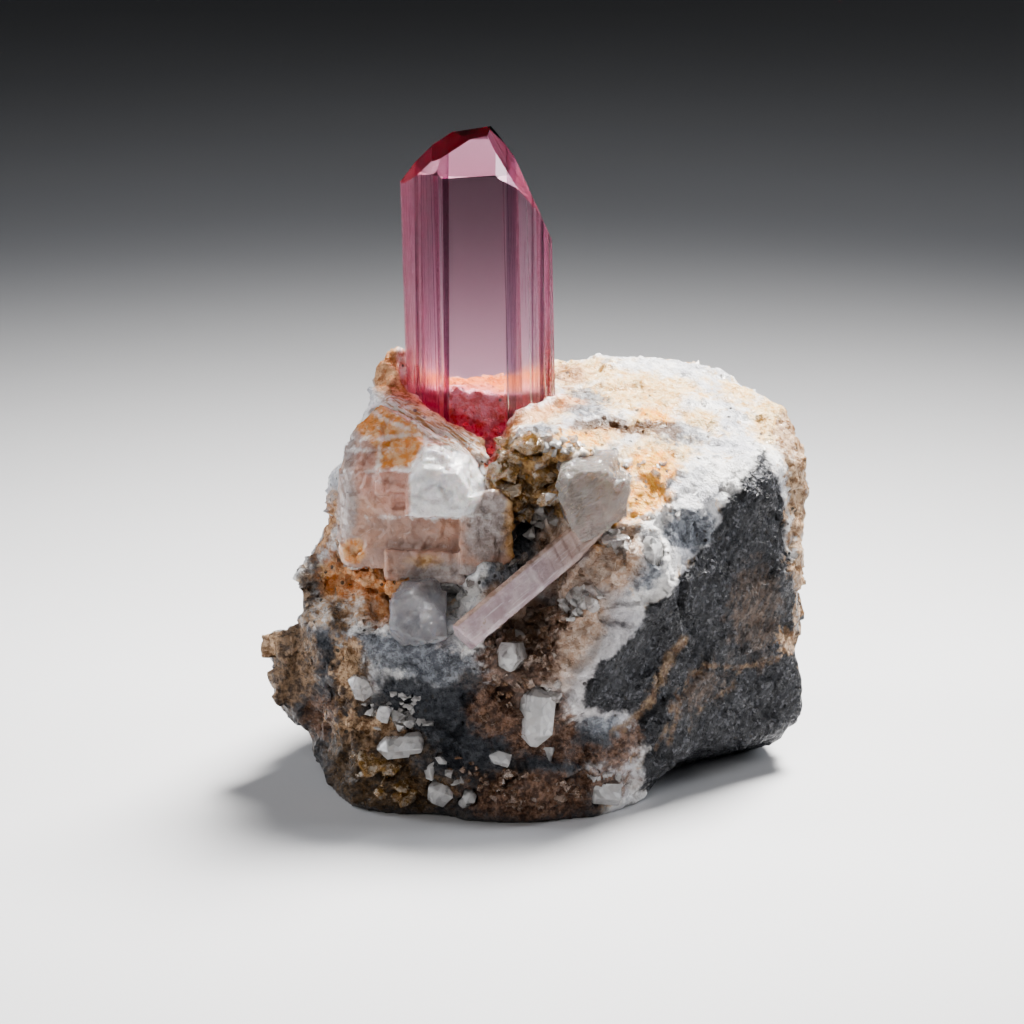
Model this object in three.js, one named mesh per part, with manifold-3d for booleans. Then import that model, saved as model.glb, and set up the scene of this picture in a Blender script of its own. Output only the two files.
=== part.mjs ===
// A pink topaz crystal standing on its matrix, a broken hand specimen of white marble and dark schist.
// The rock carries a clear topaz prism on top, a slender pale prism lying across its front pocket,
// blocks of cleaved calcite on both sides of the pocket and small quartz crystals lower down.
// Millimetres, +Z up. The origin is on the table, at the middle of the flat broken base.
// -Y is the front, where the pocket and the slender prism show.
import * as THREE from "three";
import { ConvexGeometry } from "three/addons/geometries/ConvexGeometry.js";
import { mergeVertices } from "three/addons/utils/BufferGeometryUtils.js";
import Module from "manifold-3d";

const wasm = await Module();
wasm.setup();

// Driving dimensions
const SEAT_GAP = 0.3; // clearance between a crystal and the rock that holds it
const ROCK_CELL = 1.7; // spacing of the points on the rock's surface
const ROCK_LOW = [-27.5, -22.5, -6.1];
const ROCK_HIGH = [28, 22, 40];
const BODY_BLEND = 1.2; // width over which the rock's bodies run into each other
const LUMP_BLEND = 1.8;
const HOLLOW_BLEND = 0.6;
const LUMP_HEIGHT = 0.7; // swell of the rock's surface
const LUMP_SPACING = 6.5;
const GRIT_HEIGHT = 0.45; // smaller unevenness on top of it
const GRIT_SPACING = 2.6;
const FILLED = 0.05; // how far inside a sample is put that has to be filled
const CUT_SIZE = 160; // side of a box that cuts away everything beyond a plane

const TOPAZ_FOOT = [-4.5, 2.2, 26.6]; // middle of the crystal's buried end
const TOPAZ_HEIGHT = 30.5;
const TOPAZ_LEAN = 1.3; // degrees, to the left

const colours = {
  topaz: 0xd58bb0,
  paleTopaz: 0xc9b3b8,
  calcite: 0xdccbbd,
  quartz: 0xd8d2cc,
  rock: 0xb4aca4,
};

function material(colour, roughness) {
  return new THREE.MeshStandardMaterial({ color: colour, roughness, metalness: 0 });
}

// Solids from geometries, and back

function solidOf(geometry) {
  const bare = (geometry.index ? geometry.toNonIndexed() : geometry.clone());
  bare.deleteAttribute("normal");
  bare.deleteAttribute("uv");
  const merged = mergeVertices(bare, 1e-4);
  return new wasm.Manifold(
    new wasm.Mesh({
      numProp: 3,
      vertProperties: new Float32Array(merged.attributes.position.array),
      triVerts: new Uint32Array(merged.index.array),
    }),
  );
}

function geometryOf(solid) {
  const mesh = solid.getMesh();
  const geometry = new THREE.BufferGeometry();
  geometry.setAttribute("position", new THREE.BufferAttribute(mesh.vertProperties, 3));
  geometry.setIndex(new THREE.BufferAttribute(mesh.triVerts, 1));
  return geometry;
}

// The largest piece of a solid, so that a cut leaves no loose chips.
function largest(solid) {
  return solid.decompose().sort((a, b) => b.volume() - a.volume())[0];
}

function hull(points) {
  return solidOf(new ConvexGeometry(points.map((p) => new THREE.Vector3(...p))));
}

function join(solids) {
  return solids.reduce((all, one) => all.add(one));
}

// Takes away what lies beyond the plane through point that faces along normal.
function trim(solid, point, normal) {
  const box = new THREE.BoxGeometry(CUT_SIZE, CUT_SIZE, CUT_SIZE);
  box.translate(0, 0, CUT_SIZE / 2);
  const turn = new THREE.Quaternion().setFromUnitVectors(
    new THREE.Vector3(0, 0, 1),
    new THREE.Vector3(...normal).normalize(),
  );
  box.applyQuaternion(turn);
  box.translate(...point);
  return solid.subtract(solidOf(box));
}

// A convex copy of points that stands SEAT_GAP outside them, for the seat that holds the piece.
function seatHull(points) {
  const cloud = points.map((p) => new THREE.Vector3(...p));
  const box = new THREE.Box3().setFromPoints(cloud);
  const middle = box.getCenter(new THREE.Vector3());
  const size = box.getSize(new THREE.Vector3());
  const grown = cloud.map((p) =>
    p.clone().sub(middle).multiply(
      new THREE.Vector3(1 + 2 * SEAT_GAP / size.x, 1 + 2 * SEAT_GAP / size.y, 1 + 2 * SEAT_GAP / size.z),
    ).add(middle),
  );
  return solidOf(new ConvexGeometry(grown));
}

// The seat of a finished mesh: its convex form in the part's frame, grown by the gap.
function seatOf(mesh) {
  mesh.updateMatrixWorld(true);
  const placed = mesh.geometry.clone().applyMatrix4(mesh.matrixWorld);
  const position = placed.attributes.position;
  const points = [];
  for (let i = 0; i < position.count; i++) {
    points.push([position.getX(i), position.getY(i), position.getZ(i)]);
  }
  return seatHull(points);
}

// Smooth noise between -1 and 1, the same on every run

function latticeValue(x, y, z, seed) {
  let h = Math.imul(x, 374761393) ^ Math.imul(y, 668265263);
  h ^= Math.imul(z, 1274126177) ^ Math.imul(seed, 974711);
  h = Math.imul(h ^ (h >>> 13), 1103515245);
  h ^= h >>> 16;
  return ((h >>> 0) / 4294967295) * 2 - 1;
}

function noise(x, y, z, seed) {
  const [ix, iy, iz] = [Math.floor(x), Math.floor(y), Math.floor(z)];
  const ease = (t) => t * t * (3 - 2 * t);
  const [fx, fy, fz] = [ease(x - ix), ease(y - iy), ease(z - iz)];
  let sum = 0;
  for (let corner = 0; corner < 8; corner++) {
    const [cx, cy, cz] = [corner & 1, (corner >> 1) & 1, corner >> 2];
    const weight = (cx ? fx : 1 - fx) * (cy ? fy : 1 - fy) * (cz ? fz : 1 - fz);
    sum += weight * latticeValue(ix + cx, iy + cy, iz + cz, seed);
  }
  return sum;
}

// How far p is outside a convex form, by its planes; negative inside

function planesOf(points) {
  const position = new ConvexGeometry(points.map((p) => new THREE.Vector3(...p))).attributes.position;
  const planes = new Map();
  for (let i = 0; i < position.count; i += 3) {
    const [a, b, c] = [0, 1, 2].map((k) => new THREE.Vector3().fromBufferAttribute(position, i + k));
    const plane = new THREE.Plane().setFromCoplanarPoints(a, b, c);
    const key = [...plane.normal.toArray(), plane.constant].map((v) => v.toFixed(2)).join();
    planes.set(key, plane);
  }
  return [...planes.values()];
}

function outsideHull(planes, p) {
  let most = -Infinity;
  for (const plane of planes) most = Math.max(most, plane.distanceToPoint(p));
  return most;
}

function outsideEllipsoid({ centre, radii, turn }, p) {
  const angle = -THREE.MathUtils.degToRad(turn);
  const [dx, dy, dz] = [p.x - centre[0], p.y - centre[1], p.z - centre[2]];
  const x = (dx * Math.cos(angle) - dz * Math.sin(angle)) / radii[0];
  const z = (dx * Math.sin(angle) + dz * Math.cos(angle)) / radii[2];
  return (Math.hypot(x, dy / radii[1], z) - 1) * Math.min(...radii);
}

// The lower of two distances, blended over a width where they are alike.
function blend(a, b, width) {
  const share = Math.max(width - Math.abs(a - b), 0) / width;
  return Math.min(a, b) - (share * share * width) / 4;
}

// The closed surface where field is zero: one point in each crossed cell, one square for each crossed edge.
function surfaceOf(field, low, high, cell) {
  const count = low.map((v, i) => Math.ceil((high[i] - v) / cell) + 1);
  const at = (i, j, k) => i + count[0] * (j + count[1] * k);
  const values = new Float32Array(count[0] * count[1] * count[2]);
  const p = new THREE.Vector3();
  const place = (i, j, k) => p.set(low[0] + i * cell, low[1] + j * cell, low[2] + k * cell);
  for (let k = 0; k < count[2]; k++)
    for (let j = 0; j < count[1]; j++)
      for (let i = 0; i < count[0]; i++) values[at(i, j, k)] = field(place(i, j, k));
  while (settleCheckered(values, count, at));
  const points = [];
  const pointOf = new Map();
  for (let k = 0; k < count[2] - 1; k++)
    for (let j = 0; j < count[1] - 1; j++)
      for (let i = 0; i < count[0] - 1; i++) {
        const crossing = crossingOf([i, j, k], (a, b, c) => values[at(a, b, c)]);
        if (!crossing) continue;
        pointOf.set(at(i, j, k), points.length / 3);
        points.push(...crossing.map((v, axis) => low[axis] + v * cell));
      }
  const faces = [];
  for (let k = 1; k < count[2] - 1; k++)
    for (let j = 1; j < count[1] - 1; j++)
      for (let i = 1; i < count[0] - 1; i++)
        for (let axis = 0; axis < 3; axis++) {
          const step = [0, 1, 2].map((n) => (n === axis ? 1 : 0));
          const here = values[at(i, j, k)] < 0;
          const there = values[at(i + step[0], j + step[1], k + step[2])] < 0;
          if (here === there) continue;
          const u = [0, 1, 2].map((n) => (n === (axis + 1) % 3 ? 1 : 0));
          const v = [0, 1, 2].map((n) => (n === (axis + 2) % 3 ? 1 : 0));
          const corner = (a, b) =>
            pointOf.get(at(i - a * u[0] - b * v[0], j - a * u[1] - b * v[1], k - a * u[2] - b * v[2]));
          const ring = [corner(0, 0), corner(1, 0), corner(1, 1), corner(0, 1)];
          if (!here) ring.reverse();
          faces.push(ring[0], ring[1], ring[2], ring[0], ring[2], ring[3]);
        }
  const geometry = new THREE.BufferGeometry();
  geometry.setAttribute("position", new THREE.BufferAttribute(new Float32Array(points), 3));
  geometry.setIndex(faces);
  return geometry;
}

// Where a square of four samples is inside and outside by turns, fills the outside one nearer the surface.
function settleCheckered(values, count, at) {
  let changed = false;
  for (let k = 0; k < count[2] - 1; k++)
    for (let j = 0; j < count[1] - 1; j++)
      for (let i = 0; i < count[0] - 1; i++)
        for (let axis = 0; axis < 3; axis++) {
          const u = [0, 1, 2].map((n) => (n === (axis + 1) % 3 ? 1 : 0));
          const v = [0, 1, 2].map((n) => (n === (axis + 2) % 3 ? 1 : 0));
          const square = [
            at(i, j, k),
            at(i + u[0], j + u[1], k + u[2]),
            at(i + u[0] + v[0], j + u[1] + v[1], k + u[2] + v[2]),
            at(i + v[0], j + v[1], k + v[2]),
          ];
          const inside = square.map((n) => values[n] < 0);
          if (inside[0] !== inside[2] || inside[1] !== inside[3] || inside[0] === inside[1]) continue;
          const outside = square.filter((n) => values[n] >= 0);
          values[values[outside[0]] < values[outside[1]] ? outside[0] : outside[1]] = -FILLED;
          changed = true;
        }
  return changed;
}

// The mean of the points where the field crosses zero on a cell's edges, or null.
function crossingOf([i, j, k], value) {
  const sum = [0, 0, 0];
  let found = 0;
  for (let axis = 0; axis < 3; axis++)
    for (let side = 0; side < 4; side++) {
      const start = [0, 0, 0];
      start[(axis + 1) % 3] = side & 1;
      start[(axis + 2) % 3] = side >> 1;
      const end = start.slice();
      end[axis] = 1;
      const a = value(i + start[0], j + start[1], k + start[2]);
      const b = value(i + end[0], j + end[1], k + end[2]);
      if (a < 0 === b < 0) continue;
      const t = a / (a - b);
      for (let n = 0; n < 3; n++) sum[n] += start[n] + (end[n] - start[n]) * t;
      found += 1;
    }
  return found ? [i + sum[0] / found, j + sum[1] / found, k + sum[2] / found] : null;
}

function meshOf(name, geometry, finish) {
  const mesh = new THREE.Mesh(geometry, finish);
  mesh.name = name;
  return mesh;
}

// The pink topaz: a many-sided prism with grooved sides and a chisel-like end

function topazOutline() {
  const half = [
    [-6.6, 0.3], [-6.4, -0.75], [-5.4, -2.2], [-3.65, -3.75], [-3.3, -3.75], [-2.9, -4.35],
    [2.15, -4.4], [3.75, -3.7], [5.1, -2.1], [6.6, -0.3],
  ];
  const back = half.slice(1).map(([x, y]) => [-x, -y]);
  return [...half, ...back.slice(0, -1)];
}

function topaz() {
  const outline = new THREE.Shape(topazOutline().map(([x, y]) => new THREE.Vector2(x, y)));
  const prism = new THREE.ExtrudeGeometry(outline, { depth: TOPAZ_HEIGHT, bevelEnabled: false });
  const top = TOPAZ_HEIGHT;
  const ends = [
    [[0.2, 3.0, top - 0.5], [-0.16, 0.02, 1]],
    [[-3.2, 1.2, top - 1.6], [-0.5, -0.1, 1]],
    [[-5.5, 0.6, top - 3.6], [-0.95, -0.1, 1]],
    [[0.0, -4.4, top - 3.3], [-0.05, -1, 0.85]],
    [[1.9, -4.4, top - 3.3], [0.75, -0.75, 0.62]],
    [[4.0, -2.0, top - 4.9], [1.55, -0.1, 0.95]],
    [[5.8, 0.5, top - 8.4], [2.2, 0.15, 0.95]],
    [[0.0, 4.4, top - 3.0], [0, 1, 0.8]],
    [[3.0, 4.2, top - 3.6], [0.8, 0.9, 0.8]],
    [[-4.6, 3.2, top - 4.0], [-0.8, 0.8, 0.8]],
    [[-5.3, -2.1, top - 3.4], [-0.7, -0.6, 0.7]],
    [[-2.5, -4.0, 3.0], [-0.4, -1, -0.9]],
    [[4.5, 0, 2.0], [1, -0.1, -1.1]],
  ];
  const solid = ends.reduce((crystal, [point, normal]) => trim(crystal, point, normal), solidOf(prism));
  const mesh = meshOf("topaz_crystal", geometryOf(solid), material(colours.topaz, 0.05));
  mesh.rotation.y = -THREE.MathUtils.degToRad(TOPAZ_LEAN);
  mesh.position.set(...TOPAZ_FOOT);
  return mesh;
}

// The slender pale prism that lies across the pocket

const SLENDER_LOW = [-6.4, -17.2, 16.6]; // middle of its free end
const SLENDER_HIGH = [6.4, -11.8, 26.2]; // where it runs into the rock
const SLENDER_WIDTH = 2.75;
const SLENDER_DEPTH = 1.9;

function slenderPrism() {
  const low = new THREE.Vector3(...SLENDER_LOW);
  const along = new THREE.Vector3(...SLENDER_HIGH).sub(low);
  const length = along.length();
  const [w, d] = [SLENDER_WIDTH / 2, SLENDER_DEPTH / 2];
  const bevel = 0.35;
  const section = new THREE.Shape([
    new THREE.Vector2(-w, -d + bevel), new THREE.Vector2(-w + bevel, -d), new THREE.Vector2(w - bevel, -d),
    new THREE.Vector2(w, -d + bevel), new THREE.Vector2(w - 0.15, d), new THREE.Vector2(-w + 0.5, d),
  ]);
  const bar = new THREE.ExtrudeGeometry(section, { depth: length, bevelEnabled: false });
  let solid = solidOf(bar);
  solid = trim(solid, [0, 0, 0.35], [0.12, -0.2, -1]);
  solid = trim(solid, [w, 0, length * 0.72], [1, 0, 0.12]);
  const mesh = meshOf("slender_prism", geometryOf(solid), material(colours.paleTopaz, 0.2));
  const forward = along.clone().normalize();
  const outward = new THREE.Vector3(-0.1, -1, 0.35); // its broad face looks out and a little up
  const side = new THREE.Vector3().crossVectors(outward, forward).normalize().negate();
  const back = new THREE.Vector3().crossVectors(forward, side);
  mesh.quaternion.setFromRotationMatrix(new THREE.Matrix4().makeBasis(side, back, forward));
  mesh.position.copy(low);
  return mesh;
}

// Calcite: each block is a few cleaved slabs that overlap

const LEFT_BLOCK = {
  core: [
    [-13.4, -3.4, 33.6], [-16.4, -5.2, 31.2], [-16.7, -5.4, 26.0], [-17.3, -6.2, 22.4], [-16.4, -9.6, 21.0],
    [-9.5, -11.2, 21.0], [-3.0, -10.6, 22.0], [-3.6, -9.4, 27.2], [-15.9, -8.4, 29.6], [-12.2, -9.4, 29.6],
    [-8.0, -9.6, 29.4], [-11.4, -6.2, 33.2], [-6.0, -7.4, 30.8], [-14.0, 0.0, 22.0], [-4.0, 0.0, 22.0],
    [-13.0, -1.0, 32.6], [-5.0, -3.6, 29.6],
  ],
  brow: [
    [-13.4, -9.9, 29.5], [-10.8, -10.2, 29.6], [-10.6, -10.2, 27.6], [-13.6, -10.0, 27.7], [-13.6, -7.5, 30.4],
    [-10.4, -7.0, 31.0], [-10.4, -7.0, 27.0], [-13.6, -7.5, 27.0],
  ],
  plate: [
    [-10.9, -11.6, 28.7], [-9.6, -11.2, 30.3], [-6.6, -11.6, 29.9], [-5.6, -11.6, 28.4], [-6.5, -12.0, 26.2],
    [-11.1, -11.8, 26.1], [-10.4, -8.5, 30.6], [-5.8, -8.5, 30.4], [-5.8, -8.5, 26.0], [-11.0, -8.5, 26.0],
  ],
  crest: [
    [-9.4, -10.2, 31.6], [-7.8, -10.0, 31.5], [-6.6, -10.6, 29.8], [-9.6, -11.0, 30.0], [-9.2, -7.4, 31.4],
    [-6.6, -7.4, 30.2],
  ],
  corner: [
    [-6.2, -11.9, 27.6], [-3.2, -11.4, 28.2], [-1.9, -10.6, 26.6], [-1.9, -11.0, 22.2], [-3.6, -12.2, 20.6],
    [-6.4, -12.6, 21.2], [-2.2, -6.0, 26.8], [-2.2, -6.0, 22.0], [-6.0, -6.0, 24.0],
  ],
  foot: [
    [-12.5, -11.4, 22.8], [-6.0, -12.0, 22.8], [-6.2, -12.2, 20.3], [-12.8, -11.6, 20.6], [-12.0, -6.0, 22.0],
    [-6.0, -6.0, 22.0],
  ],
};

const RIGHT_BLOCK = {
  core: [
    [2.2, -13.2, 30.4], [6.2, -13.4, 30.6], [7.3, -12.4, 28.8], [6.6, -13.8, 25.4], [4.0, -14.0, 24.6],
    [1.9, -13.2, 28.2], [2.6, -8.0, 31.0], [7.0, -8.0, 30.8], [6.6, -8.0, 25.0], [2.4, -8.0, 26.0],
  ],
  step: [
    [5.6, -13.9, 29.2], [8.1, -12.6, 29.6], [7.9, -13.0, 26.4], [6.2, -14.2, 25.6], [7.6, -9.0, 29.4],
    [7.2, -9.0, 26.0],
  ],
};

const LOWER_LUMP = {
  core: [
    [-12.0, -15.6, 19.6], [-9.4, -15.0, 20.8], [-7.4, -15.8, 18.4], [-7.6, -16.8, 16.4], [-11.0, -17.0, 16.0],
    [-12.4, -16.2, 17.2], [-12.0, -11.0, 19.8], [-8.0, -11.0, 20.2], [-8.0, -12.0, 15.0], [-12.0, -12.0, 15.0],
  ],
};

function calcite(name, slabs) {
  const solid = join(Object.values(slabs).map(hull));
  return meshOf(name, geometryOf(solid), material(colours.calcite, 0.3));
}

function calciteSeat(slabs) {
  return join(Object.values(slabs).map(seatHull));
}

// Small quartz crystals: six-sided prisms with a blunt point at one end or both

const QUARTZ = [
  { at: [-11.3, -16.0, 6.6], width: 2.3, length: 4.6, tilt: -6, swing: 88, twin: true },
  { at: [-15.1, -15.2, 11.9], width: 1.9, length: 2.3, tilt: 55, swing: 20, twin: false },
  { at: [-8.1, -16.6, 2.5], width: 2.3, length: 3.0, tilt: 30, swing: 60, twin: true },
  { at: [-9.0, -16.6, 4.9], width: 1.4, length: 2.0, tilt: 70, swing: 25, twin: false },
  { at: [-5.7, -17.0, 2.2], width: 1.5, length: 2.0, tilt: 40, swing: -20, twin: false },
  { at: [-3.0, -17.2, 5.9], width: 1.5, length: 1.9, tilt: 20, swing: 80, twin: false },
  { at: [0.2, -16.6, 9.6], width: 3.0, length: 5.6, tilt: -72, swing: 12, twin: true },
  { at: [1.1, -16.2, 5.4], width: 1.5, length: 2.2, tilt: -70, swing: 0, twin: false },
  { at: [-12.9, -15.9, 9.6], width: 1.3, length: 1.8, tilt: 50, swing: -15, twin: false },
  { at: [10.0, -13.0, 23.0], width: 2.7, length: 3.8, tilt: 75, swing: 10, twin: false },
  { at: [-2.2, -15.4, 14.6], width: 2.6, length: 3.0, tilt: 10, swing: 30, twin: false },
  { at: [5.8, -15.2, 1.9], width: 2.2, length: 3.2, tilt: 8, swing: 75, twin: false },
];

function quartz(crystal, number) {
  const { width, length, tilt, swing, twin } = crystal;
  const radius = width / 2;
  const shoulder = length / 2 - radius * 0.75;
  const points = [];
  for (let side = 0; side < 6; side++) {
    const angle = (side * Math.PI) / 3 + 0.12 * Math.sin(3 * side + number);
    const reach = radius * (1 + 0.1 * Math.cos(2 * side + number));
    const [x, y] = [reach * Math.cos(angle), reach * Math.sin(angle)];
    points.push([x, y, shoulder], [x, y, twin ? -shoulder : -length / 2]);
  }
  const offset = radius * 0.18;
  points.push([offset, 0, length / 2], [-offset, offset, length / 2 - 0.08]);
  if (twin) points.push([-offset, 0, -length / 2]);
  const geometry = geometryOf(hull(points));
  const mesh = meshOf(`quartz_crystal_${number + 1}`, geometry, material(colours.quartz, 0.12));
  mesh.rotation.order = "ZXY";
  mesh.rotation.z = THREE.MathUtils.degToRad(-swing);
  mesh.rotation.x = THREE.MathUtils.degToRad(90 - tilt);
  mesh.position.set(...crystal.at);
  return mesh;
}

// The matrix rock

const UNDERSIDE = -2; // the rough form runs below the table and is cut flat at z = 0

const ROCK_BODIES = {
  right: [
    [1.5, 14.5, 32.8], [11.2, 17.2, 31.9], [18.6, 14.8, 31.8], [23.0, 10.0, 30.6], [24.0, 4.4, 28.6],
    [14.6, -4.2, 29.2], [2.0, -7.0, 31.8], [9.4, -11.8, 25.4], [20.4, -4.8, 27.6], [2.2, -15.2, 15.8],
    [5.6, -15.4, 3.4], [10.2, -13.0, 3.4], [24.0, -2.6, 3.4], [24.4, 1.0, 18.0], [5.0, -14.6, UNDERSIDE],
    [14.0, -4.5, UNDERSIDE], [19.0, 6.0, UNDERSIDE], [22.6, 9.0, 6.0], [21.6, 13.4, 20.0],
    [12.0, 14.0, UNDERSIDE], [9.0, 18.6, 20.0], [1.0, 16.0, UNDERSIDE], [-2.0, 17.4, 22.0],
  ],
  lowerLeft: [
    [-20.2, -9.4, 16.4], [-14.5, -15.0, 15.6], [-7.2, -15.6, 14.8], [-1.0, -16.0, 13.6], [2.6, -15.4, 12.0],
    [-21.0, -4.0, 15.4], [-19.4, -1.6, 17.6], [-17.8, 6.0, 20.0], [-20.4, -6.0, 7.4], [-17.6, -9.0, UNDERSIDE],
    [-15.8, -12.8, UNDERSIDE], [-7.5, -15.6, UNDERSIDE], [-1.2, -16.4, UNDERSIDE], [4.8, -15.2, UNDERSIDE],
    [-18.6, 4.0, UNDERSIDE], [-12.0, 13.0, UNDERSIDE], [4.0, 15.0, UNDERSIDE], [-13.6, 14.0, 20.0],
    [-4.0, 17.0, 24.0], [-19.6, 5.0, 8.0],
  ],
  upperLeft: [
    [-17.4, -4.6, 19.0], [-16.6, -4.6, 28.6], [-14.0, -3.6, 33.0], [-12.6, 4.6, 34.0], [-9.6, 9.4, 33.4],
    [-3.0, 14.2, 32.6], [2.0, 15.0, 32.4], [-18.6, 4.0, 19.0], [-15.6, 8.4, 28.0], [-9.0, 14.6, 28.0],
    [2.0, -6.0, 32.2], [-1.6, -8.6, 29.4], [-4.0, -8.4, 24.0], [-3.0, -12.0, 20.0], [-15.0, -11.0, 18.4],
    [-10.0, -4.2, 32.2], [2.0, 16.0, 18.0],
  ],
  frontBelly: [
    [-8.0, -13.0, 20.4], [-2.0, -13.4, 21.8], [4.4, -14.4, 20.6], [9.6, -13.4, 18.0], [6.0, -16.2, 10.0],
    [-0.6, -16.8, 8.0], [-6.0, -16.4, 12.6], [-4.0, -4.0, 22.0], [8.0, -4.0, 24.0],
  ],
};

const ROCK_LUMPS = [
  { centre: [-22.2, -4.2, 11.0], radii: [1.9, 2.2, 3.0], turn: 20 }, // brown knob at the far left
  { centre: [-21.4, -4.6, 7.6], radii: [1.7, 2.4, 2.4], turn: 10 },
  { centre: [-12.2, 4.2, 33.6], radii: [1.5, 2.2, 2.9], turn: 0 }, // dark knob beside the topaz
  { centre: [-17.2, -3.4, 26.0], radii: [0.8, 1.3, 1.0], turn: 0 },
  { centre: [0.2, -8.6, 31.2], radii: [2.4, 2.2, 1.9], turn: 15 }, // glassy lobes right of the notch
  { centre: [-1.4, -9.8, 28.9], radii: [1.5, 1.8, 1.6], turn: 0 },
  { centre: [1.4, -11.2, 27.6], radii: [1.7, 1.8, 1.5], turn: 30 },
  { centre: [3.8, -8.8, 31.6], radii: [2.6, 2.2, 1.3], turn: -10 },
  { centre: [8.6, 14.2, 31.9], radii: [2.6, 2.4, 1.4], turn: 0 }, // low knobs along the back edge
  { centre: [14.2, 14.4, 31.0], radii: [2.4, 2.0, 1.3], turn: 20 },
  { centre: [-14.0, -14.2, 7.0], radii: [4.2, 2.6, 1.5], turn: -8 }, // brown ledge at the lower left
  { centre: [-12.6, -14.0, 3.0], radii: [3.6, 2.2, 3.0], turn: 0 },
  { centre: [-8.4, -14.8, 4.6], radii: [3.0, 1.9, 2.6], turn: 0 },
  { centre: [-4.2, -15.6, 2.2], radii: [3.6, 2.0, 2.4], turn: 0 },
  { centre: [0.6, -15.8, 2.4], radii: [3.2, 1.8, 2.6], turn: 0 },
  { centre: [-17.2, -12.0, 13.2], radii: [1.5, 1.6, 2.4], turn: 0 },
  { centre: [-19.8, -2.6, 17.6], radii: [1.5, 2.0, 1.8], turn: 0 },
  { centre: [9.2, -12.6, 21.2], radii: [2.4, 1.9, 3.2], turn: -15 },
  { centre: [3.6, -14.6, 16.2], radii: [2.8, 1.6, 3.0], turn: 25 },
];

const ROCK_HOLLOWS = [
  // notch in front of the topaz, and the crack that runs down from it to the pocket
  [[-4.2, -3.2, 29.2], [-9.6, -5.0, 34.5], [-9.6, -1.0, 36.0], [0.4, -4.2, 35.0], [1.6, -1.0, 36.0],
    [-4.4, -9.5, 30.0], [-2.6, -9.5, 34.0], [-6.4, -9.5, 34.0]],
  [[-1.7, -14.0, 30.0], [-0.3, -14.0, 30.6], [-1.6, -14.0, 22.0], [1.2, -14.5, 23.0], [-1.2, -5.2, 26.5]],
  // pocket behind the slender prism
  [[-0.8, -18.0, 24.6], [2.6, -18.0, 25.4], [5.6, -18.0, 23.6], [4.6, -19.0, 19.0], [0.6, -20.0, 13.4],
    [-3.2, -20.0, 12.6], [-5.6, -20.0, 16.6], [-3.6, -19.0, 20.8], [-0.4, -6.8, 23.6], [1.6, -9.6, 20.2],
    [-2.2, -11.6, 17.2], [0.2, -12.8, 14.0]],
  // long crack across the top of the rock
  [[5.2, -7.6, 33.0], [12.6, -5.6, 32.4], [5.4, -6.4, 33.2], [12.4, -5.0, 32.6], [9.0, -6.0, 28.8]],
  // cut under the right end, and the recess under the ledge at the left
  [[6.4, -19.0, -4.0], [9.4, -19.0, 3.0], [28.0, -12.0, 4.4], [28.0, -3.0, 4.0], [12.0, -7.0, 2.2],
    [28.0, 6.0, -0.6], [13.0, -1.0, -0.6], [8.0, -10.0, -4.0], [28.0, -12.0, -4.0], [28.0, 8.0, -4.0]],
  [[-21.5, -13.0, 10.6], [-17.2, -16.0, 10.8], [-16.6, -16.0, 4.0], [-22.0, -12.0, 3.6], [-17.6, -8.6, 7.6],
    [-19.2, -8.0, 10.0]],
];

const ROCK_PITS = [
  { centre: [-13.4, -12.6, 20.0], radii: [1.2, 1.2, 1.0], turn: 0 },
  { centre: [-15.6, -11.6, 19.0], radii: [1.0, 1.0, 1.0], turn: 0 },
  { centre: [-1.9, -10.6, 30.6], radii: [0.9, 1.4, 0.9], turn: 0 },
  { centre: [22.9, -1.4, 10.6], radii: [1.0, 1.2, 1.1], turn: 0 },
];

// Signed distance to the rock's rough surface, negative inside.
function rockField() {
  const bodies = Object.values(ROCK_BODIES).map(planesOf);
  const hollows = ROCK_HOLLOWS.map(planesOf);
  return (p) => {
    let distance = bodies.reduce((d, planes) => blend(d, outsideHull(planes, p), BODY_BLEND), Infinity);
    for (const one of ROCK_LUMPS) distance = blend(distance, outsideEllipsoid(one, p), LUMP_BLEND);
    distance -= LUMP_HEIGHT * noise(p.x / LUMP_SPACING, p.y / LUMP_SPACING, p.z / LUMP_SPACING, 3);
    distance -= GRIT_HEIGHT * noise(p.x / GRIT_SPACING, p.y / GRIT_SPACING, p.z / GRIT_SPACING, 7);
    for (const planes of hollows) distance = -blend(-distance, outsideHull(planes, p), HOLLOW_BLEND);
    for (const pit of ROCK_PITS) distance = -blend(-distance, outsideEllipsoid(pit, p), HOLLOW_BLEND);
    return distance;
  };
}

function rock(seats) {
  let solid = solidOf(surfaceOf(rockField(), ROCK_LOW, ROCK_HIGH, ROCK_CELL));
  solid = trim(solid, [0, 0, 0], [0, 0, -1]);
  for (const seat of seats) solid = solid.subtract(seat);
  return meshOf("matrix_rock", geometryOf(largest(solid)), material(colours.rock, 0.7));
}

function specimen() {
  const group = new THREE.Group();
  const crystals = [topaz(), slenderPrism(), ...QUARTZ.map(quartz)];
  const blocks = [
    ["calcite_block_left", LEFT_BLOCK],
    ["calcite_block_right", RIGHT_BLOCK],
    ["calcite_lump_low", LOWER_LUMP],
  ];
  const crystalSeats = crystals.map(seatOf);
  const calcites = blocks.map(([name, slabs]) => {
    const mesh = calcite(name, slabs);
    const cut = crystalSeats.reduce((solid, seat) => solid.subtract(seat), solidOf(mesh.geometry));
    mesh.geometry = geometryOf(largest(cut));
    return mesh;
  });
  const blockSeats = blocks.map(([, slabs]) => calciteSeat(slabs));
  group.add(rock([...crystalSeats, ...blockSeats]), ...crystals, ...calcites);
  return group;
}

export default specimen();
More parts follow.
